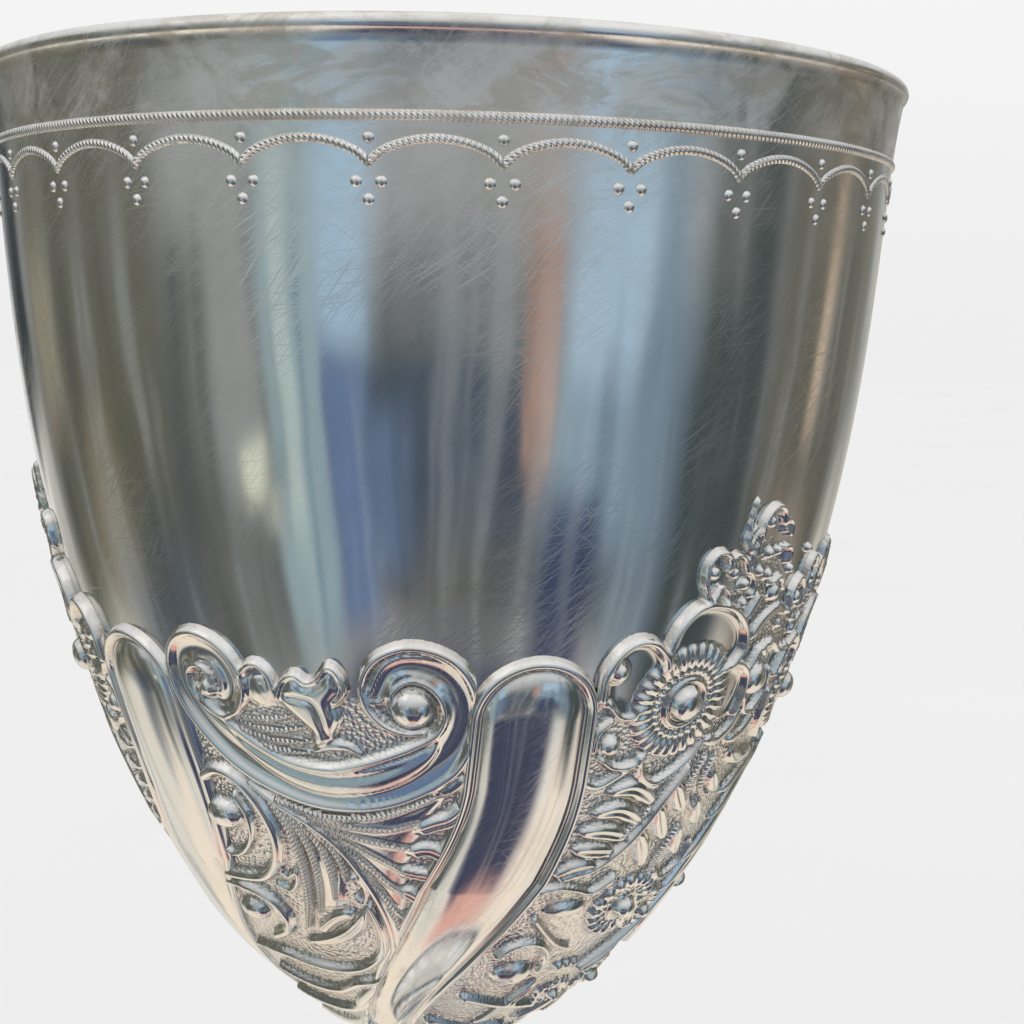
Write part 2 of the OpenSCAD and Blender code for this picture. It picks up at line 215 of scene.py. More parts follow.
def plated_silver(name, lip_haze=0.0, worn=1.0):
    """Polished plate: scratches in four directions, soft dents, tarnish, and chased grounds and ropes."""
    finish, shader, place = new_finish(name)
    x, y, z = place.parts()
    round_it = x.maths("ARCTAN2", -1.0 * y) * 0.036
    sheet = place.node("ShaderNodeCombineXYZ", {}, {0: round_it, 1: z, 2: 0.0})

    def mark(key):
        return place.node("ShaderNodeAttribute", {"attribute_name": key}, out=2)

    matted, recess, rope, rope_way = mark("matted"), mark("recess"), mark("rope"), mark("rope_way")
    # Wiping scratches are long thin marks, crowded into patches. Each kind has its angle in degrees, its
    # length and width in millimetres, and the level of the noise above which it shows.
    scratch_marks = ((36, 8, 0.11, 0.57), (58, 11, 0.10, 0.58), (8, 10, 0.11, 0.61), (-38, 9, 0.11, 0.64))
    scratch_edge = 0.07
    patches = sheet.noise(55, 2.0).ease(0.38, 0.66)
    scratch = None
    for angle, length, width, low in scratch_marks:
        marks = sheet.laid((0, 0, radians(angle)), (length * MM, width * MM, 1)).noise(1.0, 1.0)
        marks = marks.ease(low, low + scratch_edge)
        scratch = marks if scratch is None else scratch.maths("MAXIMUM", marks)
    brushed = sheet.laid((0, 0, radians(48)), (9 * MM, 0.22 * MM, 1)).noise(1.0, 3.0, 0.7)
    scratch = scratch * (0.15 + 0.85 * patches) * (1.0 - 0.8 * matted)
    cloud = place.noise(95, 4.0, 0.62, 0.4)
    spots = place.noise(420, 3.0, 0.6).ease(0.60, 0.74)
    haze = (cloud.ease(0.42, 0.72) * 0.35 + spots * cloud.ease(0.45, 0.7) * 0.5)
    worn_lip = 0.0
    if lip_haze:
        # The band above the milled line is worn dull, with a brown haze in blotches.
        band = z.ease((lip_z - 7.5) * MM, (lip_z - 5.5) * MM) * 0.7
        band = band + z.ease((lip_z - 22) * MM, (lip_z - 6) * MM) * 0.3
        smear = place.laid((0, 0, 0), (1, 1, 0.45)).noise(130, 5.0, 0.7, 1.2).ease(0.45, 0.60)
        dull = place.noise(170, 5.0, 0.65, 0.8).ease(0.38, 0.60)
        haze = haze + band * smear * lip_haze
        worn_lip = band * (0.10 + 0.24 * dull)
    haze = haze.maths("MULTIPLY", 0.55 * worn, clamp=True)
    stipple = place.node("ShaderNodeTexVoronoi", {}, {"Vector": place, "Scale": 2600.0, "Randomness": 1.0})
    ticks = (rope_way * (2 * pi / 0.42)).maths("SINE") * rope
    silver = haze.blend(colour(0.925, 0.90, 0.865), colour(0.60, 0.535, 0.43))
    silver = recess.maths("MULTIPLY", 0.75, clamp=True).blend(silver, colour(0.42, 0.35, 0.27))
    rough = 0.035 + 0.07 * brushed + 0.12 * haze + 0.19 * scratch + 0.17 * matted + 0.10 * recess + worn_lip
    dents = place.noise(34, 1.0) * 0.055
    height = dents + matted * stipple * 0.11 + ticks * 0.035
    normal = place.node("ShaderNodeBump", {}, {"Strength": 1.0, "Distance": MM, "Height": height})
    feed(shader, Metallic=1.0, Base_Color=silver, Roughness=rough, Normal=normal)
    return finish


def finished(piece, material, slot, *nodes):
    """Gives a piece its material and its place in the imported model."""
    piece.data.materials.clear()
    piece.data.materials.append(material)
    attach(piece, "root")
    if nodes:
        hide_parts(*nodes)
    return piece


bowl_finish = plated_silver("silver_bowl", lip_haze=0.9)
outside_ways = np.linspace(way_at(0.58), egg.way[-1], 124)
outside_r, outside_z = egg.at(outside_ways)
normal_r, normal_z = egg.normal(outside_ways)
normal_r[-1], normal_z[-1] = 0.0, -1.0
lip_middle = float(egg_radius(0)) - bowl_wall / 2
bead = [(lip_middle + lip_bead * cos(radians(a)), lip_z + lip_bead * sin(radians(a)))
        for a in range(-40, 221, 13)]
outside = list(zip(outside_r, outside_z))[::-1]
inside = [(max(r - bowl_wall * nr, 0), z - bowl_wall * nz)
          for r, z, nr, nz in zip(outside_r, outside_z, normal_r, normal_z)]
outside[0] = (0.0, outside[0][1])
inside[-1] = (0.0, inside[-1][1])
finished(turn("bowl_shell", outside + bead + inside, 256, 50), bowl_finish, "silver", "bowl")

# ---------------------------------------------------------------------------------------------------
# The chaser's work: with the bowl full of pitch, punches raise each line and leaf from the sheet, and
# a matting punch dulls the ground between them. It is laid here as fine sheets of work on the bowl.


ground_height, sunk_height, edge_fall = 0.06, -0.25, 1.3


class Chasing:
    """A fine grid on a turned surface, raised stroke by stroke, between two edges given in degrees."""

    def __init__(self, form, top, bottom, left, right, cell, strips=12):
        self.form = form
        ways = np.linspace(top, bottom, int((bottom - top) / cell) + 1)
        span = np.max((right(ways) - left(ways)) * pi / 180 * form.at(ways)[0])
        per_strip = max(2, int(round(span / cell / strips)))
        share = np.linspace(0, 1, per_strip * strips + 1)
        self.strips, self.per_strip = strips, per_strip
        self.angle = left(ways)[:, None] + (right(ways) - left(ways))[:, None] * share
        self.way = np.repeat(ways[:, None], len(share), 1)
        self.base, self.out = self.on_form(self.angle, self.way)
        self.radius = form.at(self.way)[0]
        shape = self.angle.shape
        self.height = np.full(shape, ground_height)
        self.ground = np.ones(shape)
        self.rope, self.rope_way = np.zeros(shape), np.zeros(shape)

    def on_form(self, angle, way):
        r, z = self.form.at(way)
        nr, nz = self.form.normal(way)
        s, c = np.sin(np.radians(angle)), -np.cos(np.radians(angle))
        return np.stack([r * s, r * c, z], -1), np.stack([nr * s, nr * c, nz], -1)

    def line(self, points, closed=False, step=0.35):
        """Smooth curve through points of (angle, way)."""
        p = np.array(points, float)
        before, after = (p[-1], [p[0], p[1]]) if closed else (2 * p[0] - p[1], [2 * p[-1] - p[-2]])
        q = np.vstack([before, p, after])
        out = []
        for a, b, c, d in zip(q[:-3], q[1:-2], q[2:-1], q[3:]):
            r = float(self.form.at((b[1] + c[1]) / 2)[0])
            n = max(2, int(hypot((c[0] - b[0]) * pi / 180 * r, c[1] - b[1]) / step))
            t = np.linspace(0, 1, n, endpoint=False)[:, None]
            out.append(0.5 * (2 * b + (c - a) * t + (2 * a - 5 * b + 4 * c - d) * t**2
                              + (3 * b - a - 3 * c + d) * t**3))
        out.append(p[:1] if closed else p[-1:])
        return np.vstack(out)

    def near(self, line, reach):
        """Grid points within reach of a line: their places, distance, share and way along, and side."""
        margin = reach / max(float(self.form.at(line[:, 1])[0].min()), 2.0) * 180 / pi
        close = ((self.angle > line[:, 0].min() - margin) & (self.angle < line[:, 0].max() + margin)
                 & (self.way > line[:, 1].min() - reach) & (self.way < line[:, 1].max() + reach))
        rows, cols = np.nonzero(close)
        marks, out = self.on_form(line[:, 0], line[:, 1])
        start, step = marks[:-1], np.diff(marks, axis=0)
        length = np.linalg.norm(step, axis=1) + 1e-9
        gone = np.concatenate([[0], np.cumsum(length)])
        best = np.full(len(rows), 1e9)
        along = np.zeros(len(rows))
        side = np.zeros(len(rows))
        p = self.base[rows, cols]
        for k in range(len(start)):
            v = p - start[k]
            t = np.clip(v @ step[k] / length[k] ** 2, 0, 1)
            w = v - t[:, None] * step[k]
            d = np.einsum("ij,ij->i", w, w)
            closer = d < best
            best = np.where(closer, d, best)
            along = np.where(closer, gone[k] + t * length[k], along)
            side = np.where(closer, np.sign(np.cross(step[k], w) @ out[k]), side)
        distance = np.sqrt(best)
        keep = distance < reach
        return (rows[keep], cols[keep]), distance[keep], along[keep] / gone[-1], along[keep], side[keep]

    def put(self, where, height, ground=0.0, rope=0.0, way=0.0):
        over = height > self.height[where]
        self.height[where] = np.where(over, height, self.height[where])
        self.ground[where] = np.where(over, ground, self.ground[where])
        self.rope[where] = np.where(over, rope, self.rope[where])
        self.rope_way[where] = np.where(over, way, self.rope_way[where])

    @staticmethod
    def along_line(values, share):
        values = np.atleast_1d(values).astype(float)
        return np.interp(share, np.linspace(0, 1, len(values)), values)

    def rib(self, points, width, height=0.9, full=0.75, closed=False, rope=0.0):
        """A raised line: width is half across, in one or more values along it."""
        line = self.line(points, closed)
        where, d, share, along, side = self.near(line, float(np.max(width)) + 0.35)
        w, h = self.along_line(width, share), self.along_line(height, share)
        s = d / w
        rise = h * np.clip(1 - s * s, 0, 1) ** full
        rise = np.where(s < 1, rise, -(d - w) * edge_fall)
        self.put(where, rise, rope=rope * (s < 0.95), way=along + side * d * 0.75)

    def trough(self, points, width, edge, middle):
        """A hollow band between two ribs."""
        line = self.line(points)
        where, d, share, _, _ = self.near(line, float(np.max(width)) + 0.35)
        w = self.along_line(width, share)
        s = d / w
        rise = np.where(s < 1, middle + (edge - middle) * s * s, edge - (d - w) * 3)
        self.put(where, rise)

    def leaf(self, points, width, height=0.8, vein=0.3, rim=0.0):
        """A pointed leaf along a line, with a vein down its middle and a rim where it has one."""
        line = self.line(points)
        where, d, share, along, side = self.near(line, float(np.max(width)) + 0.35)
        w = self.along_line(width, share) * np.clip(np.minimum(share, 1 - share) * 9, 0.12, 1) ** 0.5
        s = d / w
        rise = height * np.clip(1 - s * s, 0, 1) ** 0.6 * (1 - vein * np.exp(-((d / 0.14) ** 2)))
        rise = rise + rim * np.exp(-(((s - 0.78) / 0.16) ** 2))
        rise = np.where(s < 1, rise, -(d - w) * edge_fall)
        self.put(where, rise)

    def area(self, corners):
        """Which grid points lie inside a closed line, and how deep inside."""
        line = self.line(corners, closed=True, step=0.5)
        where, d, _, _, _ = self.near(line, 30.0)
        a, b = self.angle[where], self.way[where]
        odd = np.zeros(len(a), bool)
        for (x0, y0), (x1, y1) in zip(line[:-1], line[1:]):
            crosses = (y0 > b) != (y1 > b)
            if y1 != y0:
                odd ^= crosses & (a < x0 + (b - y0) * (x1 - x0) / (y1 - y0))
        return where, np.where(odd, d, -d)

    def pillow(self, corners, edge, crown, reach=1.0):
        """A polished area that swells from its edge to its crown, or sinks to it."""
        where, depth = self.area(corners)
        t = np.clip(depth / reach, 0, 1)
        rise = edge + (crown - edge) * (1 - (1 - t) ** 2)
        rise = np.where(depth > 0, rise, edge + depth * 3)
        self.put(where, rise)

    def polar(self, centre, reach):
        """Grid points round a centre: their places, distance and direction."""
        r = float(self.form.at(centre[1])[0])
        x = (self.angle - centre[0]) * pi / 180 * (self.radius + r) / 2
        y = self.way - centre[1]
        where = np.nonzero(np.hypot(x, y) < reach)
        x, y = x[where], y[where]
        return where, np.hypot(x, y), np.arctan2(y, x)

    def boss(self, centre, radius, height, long=1.0, lean=0.0):
        """A domed stud, round or lengthened across."""
        where, d, turn_by = self.polar(centre, radius * max(long, 1) + 0.3)
        x, y = d * np.cos(turn_by - radians(lean)) / long, d * np.sin(turn_by - radians(lean))
        s = np.hypot(x, y) / radius
        rise = np.where(s < 1, height * np.clip(1 - s * s, 0, 1) ** 0.55, -(s - 1) * radius * edge_fall)
        self.put(where, rise)

    def groove(self, points, width, depth):
        """A chased line cut down into what is there."""
        line = self.line(points)
        where, d, share, _, _ = self.near(line, width * 2.5)
        fade = np.clip(np.minimum(share, 1 - share) * 12, 0, 1)
        self.height[where] -= depth * np.exp(-((d / width) ** 2)) * fade

    def flower(self, centre, size, petals=30, pearls=28, height=0.75):
        """An open flower: a ribbed frill, a ring of pearls and a domed middle in a bead ring."""
        where, d, turn_by = self.polar(centre, size + 0.5)
        s = d / size
        wave = np.cos(petals * turn_by)
        frill = height * np.clip(1 - ((s - 0.80) / 0.24) ** 2, 0, 1) ** 0.5 * (0.80 + 0.20 * wave)
        frill = np.where(s > 0.80, frill - np.clip(wave * -0.04, 0, 1), frill)
        plate = 0.42 * height * (s < 0.98)
        ring = 0.95 * height * np.clip(1 - ((s - 0.40) / 0.055) ** 2, 0, 1) ** 0.5
        rise = np.maximum(np.maximum(frill, plate), ring)
        step = 2 * pi / pearls
        off = (np.mod(turn_by + step / 2, step) - step / 2) * 0.56 * size
        pearl = 1 - (np.hypot(off, d - 0.56 * size) / (0.060 * size)) ** 2
        rise = np.maximum(rise, 1.02 * height * np.clip(pearl, 0, 1) ** 0.5)
        dome = height * (0.9 + 1.1 * np.clip(1 - (s / 0.29) ** 2, 0, 1) ** 0.6) * (s < 0.29)
        rise = np.maximum(rise, dome)
        rise = np.where(s < 1, rise, -(d - size) * edge_fall)
        self.put(where, rise)

    def clear(self, above):
        """Lets the sheet sink out of sight where the depth is less than a line of (angle, way)."""
        line = np.array(sorted(above))
        edge = np.interp(self.angle, line[:, 0], line[:, 1])
        free = np.clip((edge - self.way) / 0.4, 0, 1)
        bare = self.ground * (self.height <= ground_height + 0.0001)
        self.height = np.where(bare > 0, ground_height + (sunk_height - ground_height) * free, self.height)

    def mirrored(self, middle):
        """The same work the other way round, about a line of angles down the form."""
        other = object.__new__(Chasing)
        other.__dict__.update(self.__dict__)
        other.angle = (2 * middle(self.way[:, 0])[:, None] - self.angle)[:, ::-1]
        other.base, other.out = other.on_form(other.angle, other.way)
        for field in ("height", "ground", "rope", "rope_way"):
            setattr(other, field, getattr(self, field)[:, ::-1])
        return other

    def soften(self, field, times=1):
        for _ in range(times):
            for axis in (0, 1):
                pad = [(1, 1) if k == axis else (0, 0) for k in (0, 1)]
                f = np.pad(field, pad, mode="edge")
                n = field.shape[axis]
                field = (f.take(range(0, n), axis) + 2 * field + f.take(range(2, n + 2), axis)) / 4
        return field

    def mesh(self, name, back=-0.45, softened=1):
        """The finished work as a closed sheet: the chased face, and a plain back inside the wall."""
        height = self.soften(np.maximum(self.height, sunk_height), softened)
        rows, cols = height.shape
        face = self.base + self.out * height[..., None]
        step = self.per_strip
        rear = (self.base + self.out * back)[:, ::step]
        verts = np.vstack([face.reshape(-1, 3), rear.reshape(-1, 3)]) * MM
        front = np.arange(rows * cols).reshape(rows, cols)
        behind = rows * cols + np.arange(rows * (self.strips + 1)).reshape(rows, -1)
        faces = [(front[:-1, :-1], front[1:, :-1], front[1:, 1:], front[:-1, 1:]),
                 (behind[:-1, :-1], behind[:-1, 1:], behind[1:, 1:], behind[1:, :-1]),
                 (front[:-1, 0], behind[:-1, 0], behind[1:, 0], front[1:, 0]),
                 (front[:-1, -1], front[1:, -1], behind[1:, -1], behind[:-1, -1])]
        quads = np.vstack([np.stack(corners, -1).reshape(-1, 4) for corners in faces])
        fans = []
        for row, flip in ((0, False), (rows - 1, True)):
            for k in range(self.strips):
                b0, b1 = behind[row, k], behind[row, k + 1]
                ends = front[row, k * step:(k + 1) * step + 1]
                rim = [(b0, i, j) for i, j in zip(ends[:-1], ends[1:])] + [(b0, ends[-1], b1)]
                fans += [f[::-1] for f in rim] if flip else rim
        fans = np.array(fans)
        mesh = bpy.data.meshes.new(name)
        mesh.vertices.add(len(verts))
        mesh.vertices.foreach_set("co", verts.astype(np.float32).ravel())
        corners = np.concatenate([quads.ravel(), fans.ravel()]).astype(np.int32)
        counts = np.concatenate([np.full(len(quads), 4), np.full(len(fans), 3)])
        mesh.loops.add(len(corners))
        mesh.loops.foreach_set("vertex_index", corners)
        mesh.polygons.add(len(counts))
        starts = np.concatenate([[0], np.cumsum(counts)[:-1]]).astype(np.int32)
        mesh.polygons.foreach_set("loop_start", starts)
        mesh.update(calc_edges=True)
        mesh.validate()
        mesh.polygons.foreach_set("use_smooth", np.ones(len(mesh.polygons), bool))
        hollow = self.soften(height, 10) - height
        fields = {
            "matted": self.soften(np.clip(self.ground * (height > -0.05) * (height < 0.25), 0, 1), 1),
            "recess": np.clip(self.soften(np.clip(hollow - 0.05, 0, 1), 1) * 4.5, 0, 1),
            "rope": self.rope, "rope_way": self.rope_way}
        for key, field in fields.items():
            spread = mesh.attributes.new(key, "FLOAT", "POINT")
            spread.data.foreach_set("value", np.concatenate(
                [field.ravel(), np.zeros(behind.size)]).astype(np.float32))
        return mesh


def around(name, mesh, turns, material):
    """Lays copies of one piece of work round the goblet, each with a mesh of its own."""
    for number, angle in enumerate(turns, 1):
        own = mesh if number == 1 and not angle else mesh.copy()
        own.name = f"{name}_{number}"
        own.transform(Matrix.Rotation(radians(angle), 4, "Z"))
        piece = bpy.data.objects.new(f"{name}_{number}", own)
        bpy.context.scene.collection.objects.link(piece)
        finished(piece, material, "silver")


# ---------------------------------------------------------------------------------------------------
# The border under the lip: a milled line, and below it an edging of 27 small arches, also milled, with
# a punched dot over each point and three under it. One third is worked here and laid round three times.
arch_count, arch_point, first_point = 27, 9.5, -47.9
arch_pitch = 360 / arch_count
line_depth, line_half = 6.2, 0.38
third_left, third_right = first_point - arch_pitch / 2, first_point - arch_pitch / 2 + 120


def straight(angle):
    return lambda ways: np.full(np.shape(ways), float(angle))


border = Chasing(egg, way_at(5.2), way_at(12.9), straight(third_left), straight(third_right), 0.15, 40)
border.height[:], border.ground[:] = sunk_height, 0.0


def on_border(points):
    return [(a, way_at(d)) for a, d in points]


steps = np.linspace(third_left - 4, third_right + 4, 60)
border.rib(on_border([(a, line_depth) for a in steps]), line_half, 0.25, rope=1.0)
for k in range(-1, 10):
    start = first_point + k * arch_pitch
    arch = [(start + arch_pitch * t, arch_point - 1.75 * sin(pi * min(max(t, 0.001), 0.999)) ** 0.62)
            for t in np.linspace(0, 1, 15)]
    border.rib(on_border(arch), 0.32, 0.22, rope=1.0)
    for side, depth in ((0, 7.75), (-1.25, 10.75), (1.25, 10.75), (0, 12.0)):
        border.boss((start + side, way_at(depth)), 0.42, 0.22)
border_mesh = border.mesh("border_arches", softened=0)
around("border_arches", border_mesh, (0, 120, 240), bowl_finish)

# ---------------------------------------------------------------------------------------------------
# Four lobes run down the bowl to its foot and swirl as they go, in two pairs on opposite sides. Each is
# a polished tongue with a round top, pushed well out from inside, with a rounded rib all round its edge.
lobe_middle, lobe_gap, lobe_top = 12.7, 60.0, 46.0
lobe_turns = (0, 180 - lobe_gap, 180, -lobe_gap)
swirl_start, swirl_rate, swirl_power = 57.0, -0.0695, 1.82
tongue_height, rib_height = 1.1, 0.80
work_end = 90.7


def swirl(ways):
    return swirl_rate * np.maximum(0, depth_at(ways) - swirl_start) ** swirl_power


def tongue_half(ways):
    return np.interp(depth_at(ways), [46, 67, 80, 91], [4.3, 4.3, 2.35, 1.1])


def lobe_half(ways):
    return tongue_half(ways) + np.interp(depth_at(ways), [46, 67, 80, 91], [1.05, 1.05, 0.8, 0.45])


def lobe_edge(side, margin, turned_by=0):
    """Angle of a lobe's edge, with a margin in millimetres outside it."""
    def edge(ways):
        return (lobe_middle + turned_by + swirl(ways)
                + side * (lobe_half(ways) + margin) / egg.at(ways)[0] * 180 / pi)
    return edge


lobe = Chasing(egg, way_at(45.6), way_at(work_end), lobe_edge(-1, 0.3), lobe_edge(1, 0.3), 0.155, 8)
across = (lobe.angle - lobe_middle - swirl(lobe.way)) * pi / 180 * lobe.radius
lean = np.gradient(swirl(lobe.way[:, 0]), lobe.way[:, 0]) * pi / 180 * lobe.radius[:, 0]
across = across * np.cos(np.arctan(lean))[:, None]
round_way = way_at(lobe_top) + lobe_half(way_at(lobe_top))
off = np.hypot(across, np.minimum(lobe.way - round_way, 0))
half, rim = tongue_half(lobe.way), lobe_half(lobe.way)
narrow = half / 4.25
s = off / half
tongue = (0.10 + tongue_height * np.clip(1 - s**2.8, 0, 1) ** 0.72) * narrow**0.7
rib_middle, rib_half = (half + rim) / 2, (rim - half) / 2
rib_s = (off - rib_middle) / rib_half
ribbing = rib_height * np.clip(1 - rib_s**2, 0, 1) ** 0.62 * narrow**0.5
lobe.height = np.where(s < 1, np.maximum(tongue, 0.10), np.maximum(ribbing, np.where(rib_s < 0, 0.10, -9)))
lobe.height = np.where(rib_s > 1, -(off - rim) * edge_fall, lobe.height)
lobe.ground[:] = 0
around("lobe", lobe.mesh("lobe"), lobe_turns, bowl_finish)

# ---------------------------------------------------------------------------------------------------
# The space inside each pair of lobes is filled with scrollwork: a great C-scroll that turns in to a
# curl at both ends, a fan of hatched strands, small leaves, and ribs that sweep down to the foot.


def down(*points):
    """Points given as (angle, depth), as (angle, way)."""
    return [(a, float(way_at(d))) for a, d in points]


scroll = Chasing(egg, way_at(44.0), way_at(work_end), lobe_edge(1, -0.4, -lobe_gap), lobe_edge(-1, -0.4),
                 0.165)
scroll.trough(down((-8.2, 49.3), (-6.5, 47.3), (-3.8, 46.6), (0, 47.2), (2.4, 49), (2.9, 51.2), (1.3, 53.8),
                   (-2, 55.4), (-6.5, 56.6), (-11, 57.3), (-16, 57.6), (-21.5, 57.1), (-27, 55.8),
                   (-31.5, 54.2),
                   (-35.2, 52), (-37.1, 49.8), (-36.8, 47.7), (-34.3, 46.7), (-31, 46.9), (-29, 48.3),
                   (-29, 50),
                   (-30.6, 50.9), (-32.4, 50.4)), [0.7, 1.0, 1.3, 1.5, 1.5, 1.4, 1.2, 1.0, 0.7], 0.55, 0.18)
scroll.rib(down((-2, 52.2), (-4.5, 52.3), (-7.5, 51.6), (-9.6, 50), (-10, 48.2), (-8.3, 46.2), (-4.6, 45.1),
                (-0.5, 45.4), (2.8, 46.8), (4.7, 49.2), (4.9, 51.8), (3.1, 55), (-0.1, 56.8), (-5.5, 58.4),
                (-11, 59.2), (-16.5, 59.3), (-21.5, 58.8), (-27, 57.6), (-31.5, 56), (-35.5, 53.6),
                (-38.2, 50.8),
                (-38.6, 48.2), (-36.9, 46.1), (-33.3, 45.2), (-29.4, 46), (-27, 48), (-26.7, 49.8),
                (-28.2, 51.5),
                (-30.8, 52.1), (-33, 51.3), (-34.2, 50)),
           [0.3, 0.44, 0.52, 0.54, 0.54, 0.54, 0.6, 0.7, 0.7, 0.56, 0.52, 0.44, 0.3], 0.82)
scroll.rib(down((-6.4, 50), (-6.1, 48.9), (-4.2, 47.9), (-1.8, 48.1), (0.1, 49.3), (0.7, 50.9),
                (-0.5, 52.4),
                (-3.5, 53.5), (-6.5, 54.3), (-10.1, 55.1), (-15.5, 55.9), (-21.5, 55.5), (-26.9, 54),
                (-30.5, 52.5), (-33.4, 51.6), (-35.4, 50.2), (-35.7, 48.9), (-34.4, 48.1), (-32.6, 48.2),
                (-31.6, 49.2)), [0.22, 0.4, 0.48, 0.5, 0.5, 0.44, 0.25], 0.78)
scroll.leaf(down((-30.5, 53.4), (-27, 55.2), (-21.5, 56.9), (-16, 57.5), (-10, 57.1), (-5, 55.9),
                 (-1.2, 54.2),
                 (-0.2, 53)), [0.15, 0.8, 1.1, 1.1, 1.0, 0.5], 0.62, 0.0)
scroll.boss(down((-3.6, 50.3))[0], 1.75, 1.35)
scroll.boss(down((-32.5, 49.9))[0], 0.9, 0.95)
scroll.rib(down((-26.8, 48.4), (-25.6, 47.5), (-24.1, 47.2), (-22.6, 48), (-21.8, 49.7)), 0.45, 0.8)
scroll.boss(down((-24.2, 49.6))[0], 1.5, 0.45)
scroll.pillow(down((-21.6, 50), (-20.6, 48.4), (-18.8, 47.7), (-17.3, 48.3), (-15.6, 47.9), (-14.1, 46.8),
                   (-12.7, 47.6), (-12.3, 48.9), (-13.6, 49.9), (-13.2, 51.4), (-14.2, 52.8), (-15.2, 53.6),
                   (-17.4, 53.9), (-17.3, 52.7), (-19.2, 51.6)), 0.35, 0.95)
scroll.rib(down((-21.6, 50), (-20.6, 48.4), (-18.8, 47.7), (-17.3, 48.3), (-15.6, 47.9), (-14.1, 46.8),
                (-12.7, 47.6), (-12.3, 48.9), (-13.6, 49.9)), 0.33, 1.0)
scroll.groove(down((-20.5, 49.5), (-16.5, 50), (-15, 53.2)), 0.2, 0.3)
scroll.leaf(down((-17.6, 54.5), (-15.2, 53.9), (-12.8, 53.8), (-10.6, 54.5)), [0.2, 0.55, 0.2], 0.7)
for strand in (((-29.6, 51.9), (-26, 52.1), (-22.5, 51.9), (-19.8, 51.4)),
               ((-29.8, 52.3), (-26, 52.9), (-22, 52.9), (-18.4, 52.4)),
               ((-29.8, 52.7), (-26, 53.6), (-22, 53.9), (-17.6, 53.6)),
               ((-29.5, 53), (-26, 54.1), (-22, 54.7), (-17.5, 54.6))):
    scroll.rib(down(*strand), [0.2, 0.34, 0.36, 0.2], 0.5, rope=1.0)
# the smaller C-scroll under it, on the left
scroll.rib(down((-44.5, 60.5), (-41.5, 59.6), (-38, 58.2), (-34.5, 57.4), (-31, 58.2), (-28.2, 60.6),
                (-27.2, 63.2), (-28.6, 65.8), (-32.5, 67.6), (-38, 68.2), (-44, 68.6), (-49, 69.6)), 0.7,
           0.95)
scroll.rib(down((-33, 59.6), (-31.6, 61.4), (-32.2, 63.6), (-35, 65.3), (-38.5, 66), (-41.5, 65.2),
                (-42.3, 63.4), (-40.8, 62.2)), 0.38, 0.8)
scroll.boss(down((-36.8, 61.8))[0], 1.6, 1.35, 1.3)
scroll.rib(down((-30.5, 68.4), (-28, 68.8), (-25.8, 67.8), (-25.2, 66.6)), 0.35, 0.6)
scroll.rib(down((-29, 66.9), (-27.4, 67.4), (-26.2, 66.8)), 0.3, 0.5)
scroll.rib(down((-50, 70.3), (-44, 69.5), (-38, 69.6), (-33.5, 70.4), (-31.5, 72), (-33, 73.6),
                (-38, 74.8)),
           0.6, 0.9)
scroll.boss(down((-41, 72.2))[0], 1.3, 1.1, 1.4)
# the spine, its strands and leaves
scroll.rib(down((-29, 57.9), (-25, 59.5), (-20, 61.1), (-15.5, 63.3), (-12, 66.3), (-9.4, 69.6),
                (-8.3, 72.6),
                (-9, 75.3), (-12, 77.8), (-17, 80), (-23, 82)), [0.35, 0.55, 0.7, 0.75, 0.75], 1.0)
scroll.pillow(down((-24, 59.6), (-14, 60.2), (-4, 58.8), (1, 57.8), (-2, 61.5), (-5, 65.2), (-5.6, 70.5),
                   (-7.6, 72.5), (-9, 69.5), (-12, 66), (-16, 62.8)), 0.12, 0.5, 1.6)
for strand in (((-25, 59.2), (-18, 60.3), (-10, 60.1), (-3, 58.7), (0.5, 57.6)),
               ((-22, 59.9), (-15, 61), (-8, 61.2), (-3, 60.4)),
               ((-20, 60.6), (-14, 61.9), (-8, 62.6), (-4.5, 62.9)),
               ((-18, 61.4), (-13, 63), (-8.5, 64.4), (-5.5, 65.3)),
               ((-15.5, 62.6), (-11.5, 64.9), (-8.5, 66.6), (-5.8, 67.6)),
               ((-13, 64.6), (-10, 67.3), (-7.6, 69.4), (-5.4, 70.6)),
               ((-10.5, 67.5), (-8, 70), (-6.6, 72))):
    scroll.rib(down(*strand), [0.25, 0.4, 0.42, 0.25], 0.74, rope=1.0)
for tip, width in ((((-1, 57.6), (1.5, 57.3), (3.6, 56.2)), 0.5),
                   (((-3.2, 61.2), (-0.5, 60.6), (2, 60.1), (4.4, 58.8)), 0.85),
                   (((-4.5, 63.4), (-1.5, 63.1), (1, 63.8), (2.4, 64.6)), 0.75),
                   (((-6.5, 65.2), (-3.5, 65.6), (-0.5, 65.7), (1.6, 65)), 0.65),
                   (((-6.2, 67.3), (-4, 67.9), (-2.2, 69), (-2.6, 70.3)), 0.7),
                   (((-6, 70.2), (-4, 71), (-3.4, 72.2), (-5.5, 73.2)), 0.6)):
    scroll.leaf(down(*tip), width, 0.85, 0.35, 0.1)
for strand, width in ((((-26.5, 59.5), (-24, 62.5), (-23.5, 66), (-24.6, 69.6), (-27, 72.6)), 0.55),
                      (((-24.5, 60), (-21.8, 62.8), (-21, 66), (-21.8, 69), (-22.9, 70.6)), 0.45),
                      (((-22.5, 60.6), (-19.3, 63.4), (-18.2, 66.2), (-18.6, 68.8)), 0.4)):
    scroll.rib(down(*strand), [0.25, width, width, width, 0.3], 0.8, rope=1.0)
scroll.rib(down((-20.5, 61.4), (-17, 63.9), (-15.7, 66)), 0.35, 0.7, rope=1.0)
scroll.pillow(down((-21, 64), (-18.5, 65), (-16.8, 67), (-16.5, 69), (-18, 70), (-21, 70.2), (-22.8, 70.6),
                   (-21.2, 68)), 0.15, 0.5)
